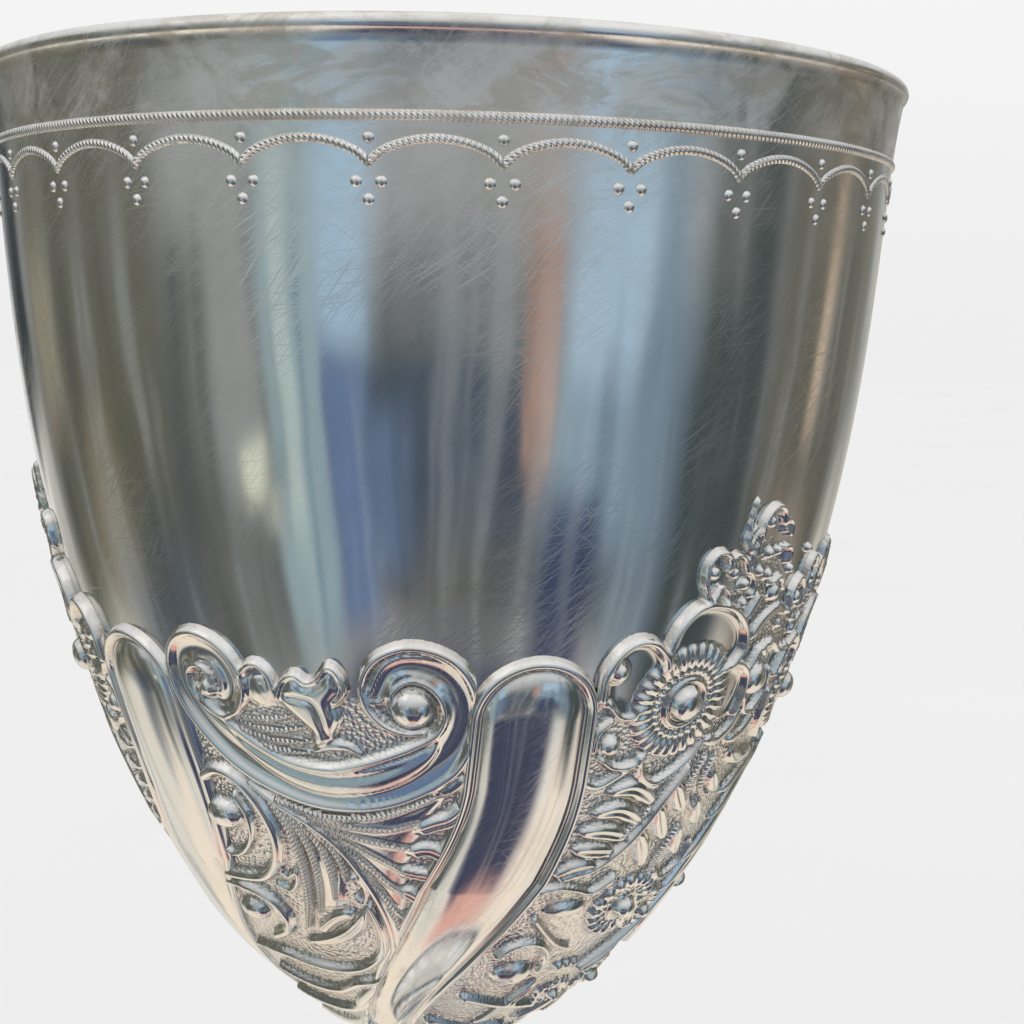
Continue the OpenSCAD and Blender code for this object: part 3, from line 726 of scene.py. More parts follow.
scroll.rib(down((-15.6, 66.8), (-14.3, 66.2), (-12.9, 66.8), (-12.5, 68.1), (-13.5, 69), (-14.6, 68.5)),
           0.3, 0.8)
scroll.leaf(down((-13.2, 69.8), (-15.5, 71.6), (-19, 73), (-24, 74), (-30, 74.6)),
            [0.3, 0.9, 0.9, 0.6, 0.3], 0.8)
scroll.leaf(down((-16, 70.3), (-20, 71.2), (-24.5, 73)), 0.6, 0.7)
# ribs that sweep down to the foot
for sweep, width in ((((-12.3, 69.2), (-10.8, 72), (-11.5, 74.6), (-15.5, 76.4), (-22, 77.3), (-30, 77.4),
                       (-40, 76.9),
                       (-50, 77.2)), 0.6),
                     (((-9.5, 76.5), (-14, 78.2), (-20, 79), (-27, 80.4), (-36, 80.6), (-48, 79.8)), 0.65),
                     (((-13, 79.5), (-19, 81.5), (-27, 83.2), (-38, 83.6), (-52, 83)), 0.7),
                     (((-20, 83.5), (-30, 85.8), (-45, 86.6), (-60, 86.5)), 0.75),
                     (((-28, 87), (-45, 88.8), (-65, 89)), 0.7)):
    scroll.rib(down(*sweep), [0.35, width, width, width, 0.4], 0.9)
scroll.clear(down((-50, 50), (-44, 50), (-39, 49.5), (-36, 47.5), (-28, 48), (-25, 49), (-21, 49.5),
                  (-16, 49),
                  (-12, 49.8), (-9.5, 49.5), (-4, 47.5), (3, 48.5), (6, 49)))
around("scroll_panel", scroll.mesh("scroll_panel"), (0, 180), bowl_finish)

# ---------------------------------------------------------------------------------------------------
# The wide spaces between the pairs hold flowers: a large open one beside each lobe and one in the
# middle, sprigs that climb the plain wall, acanthus branches, and more small flowers towards the foot.
# Half of the space is worked here, and the other half is the same work the other way round.


def spray_middle(ways):
    return lobe_middle + (180 - lobe_gap) / 2 + swirl(ways)


floral = Chasing(egg, way_at(33.2), way_at(work_end), lobe_edge(1, -0.4), spray_middle, 0.17)
floral.pillow(down((21.8, 48.9), (22.3, 46.8), (24.2, 45.3), (26.5, 44.9), (29, 45.5), (30.8, 47.2),
                   (29.5, 49.5),
                   (28.4, 51.4), (25.5, 51.6), (23.8, 50.9), (22.4, 50.6)), 0.5, 0.15, 1.2)
floral.rib(down((21.6, 49.8), (21.6, 47.8), (23.2, 46), (25.4, 45.1), (28, 45.3), (30.2, 46.5), (31, 47.6)),
           0.5, 1.05)
floral.boss(down((23.5, 47.6))[0], 1.0, 1.15)
floral.rib(down((23, 50.2), (24.6, 51.4), (26.8, 51.8), (28.2, 51.2)), 0.3, 0.8)
floral.pillow(down((31, 47.6), (31.2, 45.6), (32.2, 43.9), (34.6, 42.7), (38, 42.7), (41.5, 43.5),
                   (44.4, 45.2),
                   (45, 47), (43, 49), (38, 47.4), (34, 47.2)), 0.5, 0.2, 1.0)
floral.rib(down((31, 47.6), (31, 45.6), (32.2, 43.9), (34.6, 42.7), (38, 42.7), (41.5, 43.5), (44.4, 45.2),
                (45.2, 47),
                (43.5, 48.4)), 0.5, 1.0)
floral.pillow(down((42.5, 48.8), (45, 48.5), (48, 49.4), (48.8, 51.2), (47, 53.4), (43.5, 53)), 0.45, 0.2,
              1.0)
floral.rib(down((42, 48.6), (45, 48.3), (48, 49.3), (49, 51.2), (48.3, 53.2)), 0.45, 0.95)
floral.boss(down((24.6, 54.2))[0], 1.0, 1.0)
floral.rib(down((22, 54.5), (22.2, 52.8), (24, 51.9)), 0.35, 0.8)
floral.rib(down((23.6, 55.3), (26, 56.2), (29.5, 56.2), (31, 55.4)), 0.35, 0.85)
floral.leaf(down((20.8, 57.2), (24, 57.9), (27, 57.2), (29.8, 56.3)), 0.45, 0.7)
floral.rib(down((30.2, 55.6), (31.4, 57.2), (34, 58.2), (37, 57.9), (40.5, 56.6), (42.4, 55.2)), 0.38, 0.85)
floral.leaf(down((30.6, 57), (33.5, 58.6), (36.8, 58.6)), 0.5, 0.7)
floral.leaf(down((43.5, 55.3), (46.5, 55.6), (49.5, 54.6), (50.5, 53)), 0.6, 0.8)
floral.flower(down((36.1, 51.1))[0], 5.3, 30, 28, 0.78)
# two sprigs above it
for centre, size in (((35.9, 40), 0.75), ((39.6, 40.2), 0.7), ((42.3, 41.3), 0.65), ((42.9, 43), 0.5),
                     ((43.7, 42.2), 0.5),
                     ((37.2, 42), 0.5), ((45.2, 36.2), 0.7), ((48.8, 37), 0.5), ((48.3, 38.8), 0.5),
                     ((50.2, 42.6), 0.9),
                     ((46.3, 38.9), 0.6), ((47.2, 40.8), 0.55), ((45, 40.4), 0.5)):
    floral.boss(down(centre)[0], size, 0.75)
for rim, width in ((((36, 42.3), (34.7, 40.9), (34.6, 39.2), (35.9, 38.3), (37.7, 38.5), (38.6, 39.6)),
                    0.34),
                   (((38.2, 39.8), (39, 38.7), (40.8, 38.9), (42, 40.3)), 0.3),
                   (((41.8, 39.9), (43.6, 40.8), (44.3, 42.4)), 0.3),
                   (((36.2, 42.4), (37.6, 41.2), (39.2, 41.8), (39.5, 42.9)), 0.25),
                   (((43.4, 37.6), (43.6, 36), (45.4, 34.9), (47.4, 35.2), (48.3, 36.4)), 0.34),
                   (((41.4, 38.4), (41, 37.2), (42.2, 36.4)), 0.24),
                   (((42, 39.6), (41.8, 37.8), (43, 36.8)), 0.24),
                   (((43, 39.9), (42.8, 38.4), (43.8, 37.2)), 0.24),
                   (((48, 36), (49.8, 36.3), (50.2, 37.6)), 0.3),
                   (((49.5, 38.5), (51.2, 38.7), (51.6, 40)), 0.3),
                   (((48.6, 41.6), (50.4, 41.2), (51.9, 42.4)), 0.3),
                   (((52.2, 48.2), (50.4, 47.6), (48.8, 49.2)), 0.4),
                   (((50.4, 47.6), (53.5, 47.2), (57, 48.4), (60, 48.2)), 0.4),
                   (((56, 50), (56.5, 52), (54.5, 53.6), (51.5, 53.4), (49.8, 51.8)), 0.4)):
    floral.rib(down(*rim), width, 0.85)
floral.leaf(down((41, 36.8), (41.5, 35.2), (41.8, 34)), 0.3, 0.6)
floral.leaf(down((44.5, 44.5), (45.6, 43.4), (46.5, 42.5)), 0.5, 0.75)
floral.leaf(down((46.8, 46.4), (49, 44.9), (52, 44.2), (55, 44.6)), 0.7, 0.8)
floral.boss(down((52.4, 50.6))[0], 1.6, 1.2, 1.05)
# the middle flower, its leaves and the sprig over it
floral.flower(down((72.7, 53.5))[0], 4.6, 28, 24, 0.78)
floral.rib(down((58.5, 50.8), (60.4, 48.6), (63.6, 47.6), (66.4, 48.6), (67.4, 50.6)), 0.42, 0.95)
floral.rib(down((66.2, 48.8), (67.2, 46.6), (70, 45.2), (73, 45), (76, 45.2)), 0.42, 0.95)
floral.rib(down((59.4, 52.4), (60, 55), (62.6, 57), (65, 57.2)), 0.4, 0.9)
floral.boss(down((63.2, 50.4))[0], 1.15, 0.65)
floral.boss(down((62.6, 54.2))[0], 0.95, 0.6)
floral.boss(down((57.6, 43.6))[0], 0.8, 0.95)
floral.rib(down((55.8, 44.8), (55.9, 42.9), (57.8, 41.8), (59.6, 42.8), (60, 44.6)), 0.34, 0.85)
floral.boss(down((61.8, 42.2))[0], 0.7, 0.95)
floral.rib(down((60.4, 43.2), (60.8, 41), (62.4, 40.2), (63.8, 41.4)), 0.3, 0.85)
floral.boss(down((66.4, 42.6))[0], 0.75, 0.95)
floral.rib(down((64.8, 44), (65, 41.8), (66.8, 40.8), (68.4, 42.2)), 0.32, 0.85)
for bead_angle, bead_depth in ((53.6, 40.8), (54.8, 45.8), (60.4, 45.8), (63.6, 44.6), (69.6, 43.4),
                               (58.8, 39.4)):
    floral.boss(down((bead_angle, bead_depth))[0], 0.5, 0.6)
floral.leaf(down((72.7, 44.6), (72.7, 42.5), (72.7, 40)), [0.5, 0.9, 0.3], 0.85)
floral.leaf(down((72.2, 43.6), (70.2, 41.8), (69.4, 39.6)), [0.4, 0.7, 0.25], 0.8)
floral.leaf(down((60.6, 47.2), (62.6, 46), (65.2, 46)), 0.6, 0.8)
floral.leaf(down((54, 57.6), (57, 58.6), (60.5, 59), (64, 58.6)), 0.8, 0.8)
floral.leaf(down((51, 56.2), (54.5, 55.8), (57, 54.4)), 0.6, 0.75)
# leaves that fall from the middle flower, with a small flower under them
for leaf_line in (((72, 58.6), (70.6, 61.4), (67, 63.8), (62, 65.6)),
                  ((69, 59), (66, 60.6), (62, 61.6), (58.5, 62.4)),
                  ((71, 62.4), (68.5, 65.4), (64, 68), (58.5, 69.6)),
                  ((67.5, 66.6), (63, 70.4), (57, 72.6)),
                  ((72.6, 59.4), (72.3, 62.4), (70, 66.6))):
    floral.leaf(down(*leaf_line), [0.45, 1.0, 0.95, 0.3], 0.85, 0.45, 0.08)
floral.rib(down((72.4, 58.2), (71.4, 63), (67.4, 68), (60, 73), (51, 76.6), (41, 79)),
           [0.35, 0.5, 0.55, 0.4], 0.9)
floral.rib(down((46, 68.6), (50, 69.8), (54.6, 69), (56.4, 67)), 0.38, 0.8)
floral.flower(down((50.4, 73.2))[0], 2.7, 16, 14, 0.75)
floral.boss(down((62.4, 74.6))[0], 1.2, 0.55, 1.5)
floral.leaf(down((66, 71.6), (61, 76.2), (54, 79.2), (47, 80.6)), [0.4, 0.9, 0.8, 0.3], 0.85, 0.4)
floral.flower(down((38.5, 82))[0], 2.1, 14, 12, 0.7)
floral.leaf(down((52, 81.6), (45, 84), (34, 86)), [0.4, 0.8, 0.3], 0.8, 0.4)
floral.leaf(down((28, 79.6), (22, 82.6), (14, 85.2)), [0.4, 0.8, 0.3], 0.8, 0.4)
# the acanthus branch
floral.rib(down((41.5, 57.5), (38.5, 60), (36, 62.4), (33, 64.4), (28, 66.2), (22, 66.8)),
           [0.35, 0.5, 0.5, 0.35], 0.95)
for lobe_line in (((36.5, 60.5), (31, 58.6), (26.2, 58.8)), ((35, 62.2), (29.5, 60.6), (24.3, 60.7)),
                  ((33.5, 63.6), (28, 62.6), (22.8, 62.3)), ((31.5, 64.8), (27, 64.4), (22.6, 64)),
                  ((29, 66), (24.5, 66), (20.5, 66.6)), ((40, 59), (43, 61), (45.5, 62.4)),
                  ((38, 61), (41, 63.4), (43.5, 65)), ((35.5, 63.3), (38.5, 65.5), (40.5, 67.5))):
    floral.leaf(down(*lobe_line), [0.5, 0.95, 0.9, 0.3], 0.85, 0.45, 0.08)
for strand in (((30.5, 63.5), (33.5, 62.5), (36, 61)), ((45.5, 57), (44, 59.5), (46, 61.5), (48.8, 62.6)),
               ((48.5, 57.5), (47.5, 59.5), (49.4, 61), (52, 61.4)),
               ((47, 64.2), (44.8, 66.4), (44, 68.4))):
    floral.rib(down(*strand), 0.34, 0.7, rope=1.0)
for lobe_line in (((50, 59), (53, 60.8), (56, 61.6)), ((48.6, 61.5), (51.4, 63.6), (54.4, 64.8)),
                  ((46.8, 64), (49, 66.2), (51.8, 67.6))):
    floral.leaf(down(*lobe_line), [0.5, 0.9, 0.3], 0.8, 0.4, 0.08)
# below it
floral.rib(down((18.5, 68), (22, 67.8), (26, 68.3), (30, 68.9), (34.2, 67.8)), 0.4, 0.8)
floral.boss(down((33.8, 68.5))[0], 0.6, 0.9)
floral.boss(down((25.8, 70.6))[0], 0.95, 0.75, 2.4)
floral.rib(down((19.5, 71.2), (23, 73), (27, 74.6), (31, 75.4)), 0.35, 0.8)
floral.flower(down((41.5, 71.7))[0], 3.8, 18, 16, 0.8)
floral.rib(down((13.5, 75.2), (16, 74.2), (20, 73.9), (24, 74.6), (26.5, 76.3), (26, 78)), 0.4, 0.85)
floral.boss(down((19, 77.8))[0], 1.6, 1.1, 1.3)
for bead_angle in (32.5, 35, 37.5):
    floral.boss(down((bead_angle, 78))[0], 0.55, 0.8)
floral.rib(down((8, 80.5), (20, 82), (33, 83)), 0.6, 0.9)
floral.rib(down((-2, 84), (12, 85.6), (28, 86)), 0.7, 0.9)
floral.rib(down((-12, 87.2), (2, 88.4), (20, 88.8)), 0.65, 0.85)
floral.clear(down((18, 51), (21, 50), (23, 49), (30, 48), (33, 46), (38, 43.4), (41, 41.5), (44, 38),
                  (47, 37.6), (50, 40),
                  (56, 43), (60, 42.4), (66, 42.6), (70, 43), (76, 43)))
around("floral_left", floral.mesh("floral_left"), (0, 180), bowl_finish)
around("floral_right", floral.mirrored(spray_middle).mesh("floral_right"), (0, 180), bowl_finish)

# ---------------------------------------------------------------------------------------------------
# The collar is a turned silver cup soldered under the bowl. Its hollow neck takes the bowl's foot, and a
# reeded ring round it hides the seam with the stem.
fittings_finish = plated_silver("silver_stem", worn=0.8)


def reeds(outline, places, width=0.5, rise=0.22):
    """Adds small half-round reeds to a turned outline: each is centred at a share of the way along it."""
    form = np.array(outline, float)
    way = np.concatenate([[0], np.cumsum(np.hypot(*np.diff(form, axis=0).T))])
    fine = np.unique(np.concatenate([way] + [p * way[-1] + np.linspace(-width, width, 11) for p in places]))
    fine = fine[(fine >= 0) & (fine <= way[-1])]
    r, z = np.interp(fine, way, form[:, 0]), np.interp(fine, way, form[:, 1])
    slope_r, slope_z = np.gradient(r, fine), np.gradient(z, fine)
    lift = np.zeros(len(fine))
    for p in places:
        lift = np.maximum(lift, rise * np.sqrt(np.clip(1 - ((fine - p * way[-1]) / width) ** 2, 0, 1)))
    return [(float(a + up * b), float(c - up * d)) for a, b, c, d, up in zip(r, slope_z, z, slope_r, lift)]


collar_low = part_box("bowl_collar")[0]
collar_bottom = collar_low.z / MM
collar_neck, collar_ring, collar_floor, collar_pocket, collar_bore = 6.0, 8.4, 1.6, 4.6, 2.8
seat_outline = [(r, z - 0.02) for r, z in zip(outside_r, outside_z) if collar_pocket < r < collar_neck]
neck_start = collar_bottom + 1.6
collar_side = [(collar_ring - 0.5, collar_bottom), (collar_ring - 0.12, collar_bottom + 0.12),
               (collar_ring, collar_bottom + 0.5), (collar_ring - 0.05, collar_bottom + 0.95),
               (collar_ring - 0.5, collar_bottom + 1.3)]
neck_top = max(z for _, z in seat_outline)
collar_side += [(collar_neck + 1.8 * (1 - cos(radians(a))),
                 neck_top + (neck_start - neck_top) * sin(radians(a)))
                for a in range(80, -1, -8)]
collar_inside = [(collar_pocket, collar_bottom + collar_floor + 0.3),
                 (collar_pocket, collar_bottom + collar_floor),
                 (collar_bore, collar_bottom + collar_floor), (collar_bore, collar_bottom), collar_side[0]]
collar_outline = collar_side + sorted(seat_outline, key=lambda p: -p[0])[:-1] + collar_inside
finished(turn("bowl_collar_turned", collar_outline, 128, 40), fittings_finish, "silver", "bowl_collar")

# ---------------------------------------------------------------------------------------------------
# The stem is in two waisted tubes, above and below a hollow knop. Plain spigots on their ends fit into
# the knop and the foot, and reeds are turned into them where they meet the knop and the foot.
upper_low, upper_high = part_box("stem_upper")
lower_low, lower_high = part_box("stem_lower")
spigot_radius, spigot_long, stem_bore = 3.6, 1.6, 2.8
spigot_hole = spigot_radius + 0.05


def waisted(bottom, top, foot_r, waist_r, head_r, waist_at, count=48):
    """Outline of a stem that narrows to a waist, from the bottom up."""
    share = np.linspace(0, 1, count)
    low = ((waist_at - share) / waist_at).clip(0)
    high = ((share - waist_at) / (1 - waist_at)).clip(0)
    radius = waist_r + (foot_r - waist_r) * low**2 + (head_r - waist_r) * high**2
    return list(zip(radius, bottom + (top - bottom) * share))


def stem(name, low, high, shape, places, node, upper_spigot=0.0):
    bottom, top = low.z / MM, high.z / MM
    body_bottom, body_top = bottom + spigot_long, top - upper_spigot
    outline = [(stem_bore, bottom), (spigot_radius, bottom), (spigot_radius, body_bottom)]
    outline += reeds(waisted(body_bottom, body_top, *shape), places)
    if upper_spigot:
        outline += [(spigot_radius, body_top), (spigot_radius, top)]
    outline += [(stem_bore, top), (stem_bore, bottom)]
    finished(turn(name, outline, 128, 40), fittings_finish, "silver", node)


stem("stem_upper_turned", upper_low, upper_high, (5.7, 4.7, 6.8, 0.25), (0.62, 0.70, 0.94), "stem_upper")
stem("stem_lower_turned", lower_low, lower_high, (9.5, 4.7, 5.7, 0.8), (0.05, 0.12, 0.90), "stem_lower",
     upper_spigot=spigot_long)

# ---------------------------------------------------------------------------------------------------
# The knop is two pressed half shells soldered edge to edge over the stem, with a milled wire covering
# the joint. Chased petals spread over each half from the stem to the wire.
knop_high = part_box("knop_upper")[1]
knop_middle = (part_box("knop_lower")[1].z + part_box("knop_upper")[0].z) / 2 / MM
knop_half_height = knop_high.z / MM - knop_middle
knop_neck, knop_swell, knop_wall, petal_count = 5.9, 4.6, 1.0, 12


def knop_point(angle, inset=0.0):
    """A point of the half shell's outline, from its edge at the wire, 0, to its neck, 90."""
    return (knop_neck + (knop_swell - inset) * cos(radians(angle)),
            (knop_half_height - inset) * sin(radians(angle)))


knop_outline_r, knop_outline_z = np.array([knop_point(a) for a in np.linspace(90, 0, 400)]).T
knop_form = Turned(knop_outline_r, knop_outline_z)
petal = Chasing(knop_form, 0.15, knop_form.way[-1] - 1.05, straight(-180 / petal_count),
                straight(180 / petal_count), 0.15, 4)
petal_share = (petal.way - petal.way.min()) / np.ptp(petal.way)
petal_swell = np.clip(np.sin(pi * np.clip(petal_share * 0.94 + 0.03, 0, 1)), 0, 1) ** 0.5
petal_half = pi * petal.radius / petal_count * petal_swell
petal_s = np.abs(petal.angle) * pi / 180 * petal.radius / petal_half
petal_tongue = 0.10 + 0.30 * np.sqrt(np.clip(1 - (petal_s / 0.86) ** 2, 0, 1))
petal_rim = 0.34 * np.sqrt(np.clip(1 - ((petal_s - 0.90) / 0.11) ** 2, 0, 1))
petal.height = np.where(petal_s < 0.80, petal_tongue, np.where(petal_s < 1, petal_rim, 0.0))
petal.height = np.maximum(petal.height, 0.02)
petal.ground = (petal_s > 1.0) * 1.0


def half_shell(name, sign, node):
    outer = [knop_point(a) for a in np.linspace(0, 90, 28)]
    inner = [knop_point(a, knop_wall) for a in np.linspace(90, 0, 20)]
    outer = [(r - 0.02, z) for r, z in outer]
    outline = [(r, knop_middle + sign * z) for r, z in outer + [(spigot_hole, outer[-1][1])]
               + [(spigot_hole, inner[0][1])] + inner + outer[:1]]
    finished(turn(name, outline, 160, 40), fittings_finish, "silver", node)
    made = []
    for k in range(petal_count):
        mesh = petal.mesh(f"{name}_petal_{k + 1}", back=-0.3)
        mesh.transform(Matrix.Scale(sign, 4, (0, 0, 1)))
        if sign < 0:
            mesh.flip_normals()
        mesh.transform(Matrix.Rotation(2 * pi * k / petal_count, 4, "Z"))
        mesh.transform(Matrix.Translation((0, 0, knop_middle * MM)))
        made.append(mesh)
    return made


for knop_name, knop_sign, knop_node in (("knop_upper_shell", 1, "knop_upper"),
                                        ("knop_lower_shell", -1, "knop_lower")):
    petals = half_shell(knop_name, knop_sign, knop_node)
    bpy.ops.object.select_all(action="DESELECT")
    for petal_mesh in petals:
        petal_piece = bpy.data.objects.new(petal_mesh.name, petal_mesh)
        bpy.context.scene.collection.objects.link(petal_piece)
        petal_piece.select_set(True)
    bpy.context.view_layer.objects.active = petal_piece
    bpy.ops.object.join()
    petal_piece.name = petal_piece.data.name = knop_name.replace("shell", "petals")
    finished(petal_piece, fittings_finish, "silver")

knop_wire_low, knop_wire_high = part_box("knop_wire")
wire_outer, wire_half = knop_wire_high.x / MM, (knop_wire_high.z - knop_wire_low.z) / MM / 2
wire_inner, bead_count, steps_per_bead, bead_cut = wire_outer - wire_half, 60, 4, 0.23
wire_outline = [(wire_inner + wire_half * cos(radians(a)), knop_middle + wire_half * sin(radians(a)))
                for a in range(-90, 91, 10)]
knop_wire = turn("knop_wire_milled", wire_outline + wire_outline[:1], bead_count * steps_per_bead, 60)
for corner in knop_wire.data.vertices:
    reach = hypot(corner.co.x, corner.co.y) / MM
    step = round(atan2(corner.co.y, corner.co.x) / (2 * pi) * bead_count * steps_per_bead)
    if reach > wire_inner + bead_cut and step % steps_per_bead < 2:
        corner.co.xy *= (reach - bead_cut) / reach
finished(knop_wire, fittings_finish, "silver", "knop_wire")

# ---------------------------------------------------------------------------------------------------
# The foot is spun from sheet as a dome with a flat border, and chased like the bowl: twelve polished
# tongues with ribs round them swirl down it over a matted ground, above a milled line and a bead edge.
foot_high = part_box("foot")[1]
foot_crown_r, foot_dome_r, foot_edge_r, foot_top, foot_under = 10.4, 34.6, 38.0, foot_high.z / MM, 2.4
foot_border_top, foot_wall, foot_hole, foot_tongues, foot_swirl = 3.4, 1.0, spigot_hole, 12, 18.0


def foot_dome(angle, inset=0.0):
    """A point of the dome, from its crown, 0, to its border, 90."""
    s, c = sin(radians(angle)) ** 0.9, max(cos(radians(angle)), 0) ** 0.9
    return (foot_crown_r + (foot_dome_r - inset - foot_crown_r) * s,
            foot_under + (foot_top - foot_under - inset) * c)


dome_side = [p for p in (foot_dome(a) for a in np.linspace(0, 90, 60)) if p[1] > foot_border_top]
foot_top_side = [(foot_hole, foot_top)] + dome_side + [(dome_side[-1][0] + 0.25, foot_border_top)]
foot_edge = [(foot_edge_r - 0.35, foot_border_top), (foot_edge_r - 0.1, foot_border_top - 0.1),
             (foot_edge_r, foot_border_top - 0.35), (foot_edge_r, foot_under)]
foot_below = [foot_dome(a, foot_wall) for a in np.linspace(90, 0, 36)] + [(foot_hole, foot_top - foot_wall)]
finished(turn("foot_shell", foot_top_side + foot_edge + foot_below + foot_top_side[:1], 240, 40),
                fittings_finish, "silver", "foot")

dome_r, dome_z = np.array([foot_dome(a) for a in np.linspace(0, 88.5, 600)]).T
foot_form = Turned(np.concatenate([[foot_crown_r - 2.5], dome_r]), np.concatenate([[foot_top], dome_z]))
sector = 360 / foot_tongues * 4
foot_work = Chasing(foot_form, 2.2, foot_form.way[-1] - 1.0, straight(0), straight(sector), 0.275, 24)
foot_share = (foot_work.way - 2.2) / (foot_form.way[-1] - 3.2)
pitch = 360 / foot_tongues
from_tongue = np.mod(foot_work.angle + foot_swirl * (foot_share - 0.5) + pitch / 2, pitch) - pitch / 2
tongue_across = from_tongue * pi / 180 * foot_work.radius
tongue_along = (foot_share - 0.06) / 0.68
tongue_wide = (0.44 * pitch * pi / 180 * foot_work.radius
               * np.sqrt(np.clip(np.sin(pi * np.clip(tongue_along, 0, 1) ** 0.85), 0, 1)) + 0.01)
foot_s = np.abs(tongue_across) / tongue_wide
rim_share = np.clip(0.75 / tongue_wide, 0.05, 0.9)
foot_work.height = np.where(
    foot_s < 1 - rim_share, 0.10 + 0.75 * np.clip(1 - (foot_s / (1 - rim_share)) ** 2, 0, 1) ** 0.6,
    np.maximum(0.06, 0.62 * np.clip(1 - ((foot_s - 1 + rim_share / 2) / (rim_share / 2)) ** 2, 0,
                                    1) ** 0.6))
foot_work.ground = (foot_s > 1).astype(float)
foot_way = foot_form.way[-1]
for k in range(5):
    for inward, size, rise in ((8.6, 1.0, 0.7), (6.9, 0.6, 0.5)):
        share = (foot_way - inward - 2.2) / (foot_way - 3.2)
        foot_work.boss((pitch * (k - 0.5) - foot_swirl * (share - 0.5) % pitch + pitch, foot_way - inward),
                       size, rise)
foot_work.rib([(a, foot_way - 4.6) for a in np.linspace(-4, sector + 4, 60)], 0.5, 0.45, rope=1.0)
for k in range(-1, foot_tongues + 2):
    start, width = k * sector / foot_tongues, sector / foot_tongues
    foot_work.rib([(start + width * t, foot_way - 2.2 - 1.5 * sin(pi * min(max(t, 0.001), 0.999)) ** 0.62)
                   for t in np.linspace(0, 1, 9)], 0.35, 0.35, rope=1.0)
around("foot_chasing", foot_work.mesh("foot_chasing", softened=1), (0, 120, 240), fittings_finish)

# ---------------------------------------------------------------------------------------------------
# A square-drawn wire is soldered under the edge of the foot. It is what the goblet stands on, and its
# outside is milled with a fine reeding.
ring_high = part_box("foot_wire")[1]
ring_outer, ring_inner, ring_top, ring_chamfer = ring_high.x / MM, 35.6, ring_high.z / MM, 0.6
ring_outline = [(ring_inner, 0.15), (ring_inner + 0.15, 0), (ring_outer - ring_chamfer, 0)]
ring_outline += [(ring_outer - ring_chamfer + ring_chamfer * sin(radians(a)),
                  ring_chamfer - ring_chamfer * cos(radians(a)))
                 for a in range(15, 91, 15)]
ring_outline += [(ring_outer, ring_top), (ring_inner, ring_top), ring_outline[0]]
foot_wire = turn("foot_wire_milled", ring_outline, 360, 30)
for corner in foot_wire.data.vertices:
    reach = hypot(corner.co.x, corner.co.y) / MM
    if reach > ring_outer - 0.05:
        across_reed = round(degrees(atan2(corner.co.y, corner.co.x))) % 2
        corner.co.xy *= (reach - 0.28 * across_reed) / reach
finished(foot_wire, fittings_finish, "silver", "foot_wire")

# ---------------------------------------------------------------------------------------------------
# The fixings are out of sight. A brass boss is soldered under the bowl with a steel stud in it. The stud
# runs down through the stem, and a brass nut under the foot draws everything together on its washers.


def turned_metal(name, bright, dull, base_rough, ring_pitch):
    """Lathe-turned metal, with fine tool rings, fingered dull patches and a darker skin in places."""
    finish, shader, place = new_finish(name)
    x, y, z = place.parts()
    out = (x * x + y * y).maths("SQRT")
    rings = ((out + z) * (2 * pi / (ring_pitch * MM))).maths("SINE")
    skin = place.noise(260, 4.0, 0.6).ease(0.40, 0.68)
    specks = place.noise(1400, 2.0).ease(0.6, 0.75)
    rough = base_rough + 0.16 * skin + 0.08 * specks
    bumps = rings * 0.004 + place.noise(900, 2.0) * 0.008
    normal = place.node("ShaderNodeBump", {}, {"Strength": 1.0, "Distance": MM, "Height": bumps})
    feed(shader, Metallic=1.0, Base_Color=(skin * 0.8 + specks * 0.2).blend(colour(*bright), colour(*dull)),
         Roughness=rough, Normal=normal)
    return finish


brass_finish = turned_metal("dulled_brass", (0.78, 0.60, 0.31), (0.50, 0.36, 0.18), 0.24, 0.24)
steel_finish = turned_metal("bright_steel", (0.62, 0.62, 0.63), (0.36, 0.35, 0.35), 0.22, 0.18)

boss_low, boss_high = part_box("stud_boss")
boss_r, boss_bottom = boss_high.x / MM, boss_low.z / MM
stud_low, stud_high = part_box("tie_stud")
stud_r, stud_bottom, stud_top = stud_high.x / MM, stud_low.z / MM, stud_high.z / MM
boss_seat = [(r, z - 0.02) for r, z in zip(outside_r, outside_z) if r < boss_r]
boss_seat[-1] = (0.0, boss_seat[-1][1])
boss_outline = [(stud_r + 0.02, boss_bottom), (boss_r - 0.3, boss_bottom), (boss_r, boss_bottom + 0.3),
                (boss_r, boss_seat[0][1])] + boss_seat
boss_outline += [(0, stud_top + 0.02), (stud_r + 0.02, stud_top + 0.02), (stud_r + 0.02, boss_bottom)]
finished(turn("stud_boss_turned", boss_outline, 96, 30), brass_finish, "brass", "stud_boss")

thread_pitch, thread_depth, threaded_to = 0.8, 0.28, stud_bottom + 12.0
thread = []
z = stud_bottom + 0.5
while z < threaded_to:
    thread += [(stud_r - thread_depth, z), (stud_r, z + thread_pitch * 0.42),
               (stud_r, z + thread_pitch * 0.58)]
    z += thread_pitch
stud_outline = [(0, stud_bottom), (stud_r - 0.45, stud_bottom)] + thread
stud_outline += [(stud_r - thread_depth, z), (stud_r - 0.1, z + 0.3), (stud_r - 0.1, stud_top - 4.0),
                 (stud_r - 0.05, stud_top - 3.9), (stud_r - 0.05, stud_top - 0.4), (stud_r - 0.4, stud_top),
                 (0, stud_top)]
finished(turn("tie_stud_threaded", stud_outline, 64, 25), steel_finish, "steel", "tie_stud")

clamp_low, clamp_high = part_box("clamp_washer")
clamp_r, clamp_bottom, clamp_top = clamp_high.x / MM, clamp_low.z / MM, clamp_high.z / MM
clamp_outline = [(spigot_hole, clamp_bottom), (clamp_r - 1, clamp_bottom), (clamp_r, clamp_top - 0.15),
                 (clamp_r - 0.15, clamp_top), (spigot_hole, clamp_top), (spigot_hole, clamp_bottom)]
finished(turn("clamp_washer_turned", clamp_outline, 96, 30), brass_finish, "brass", "clamp_washer")

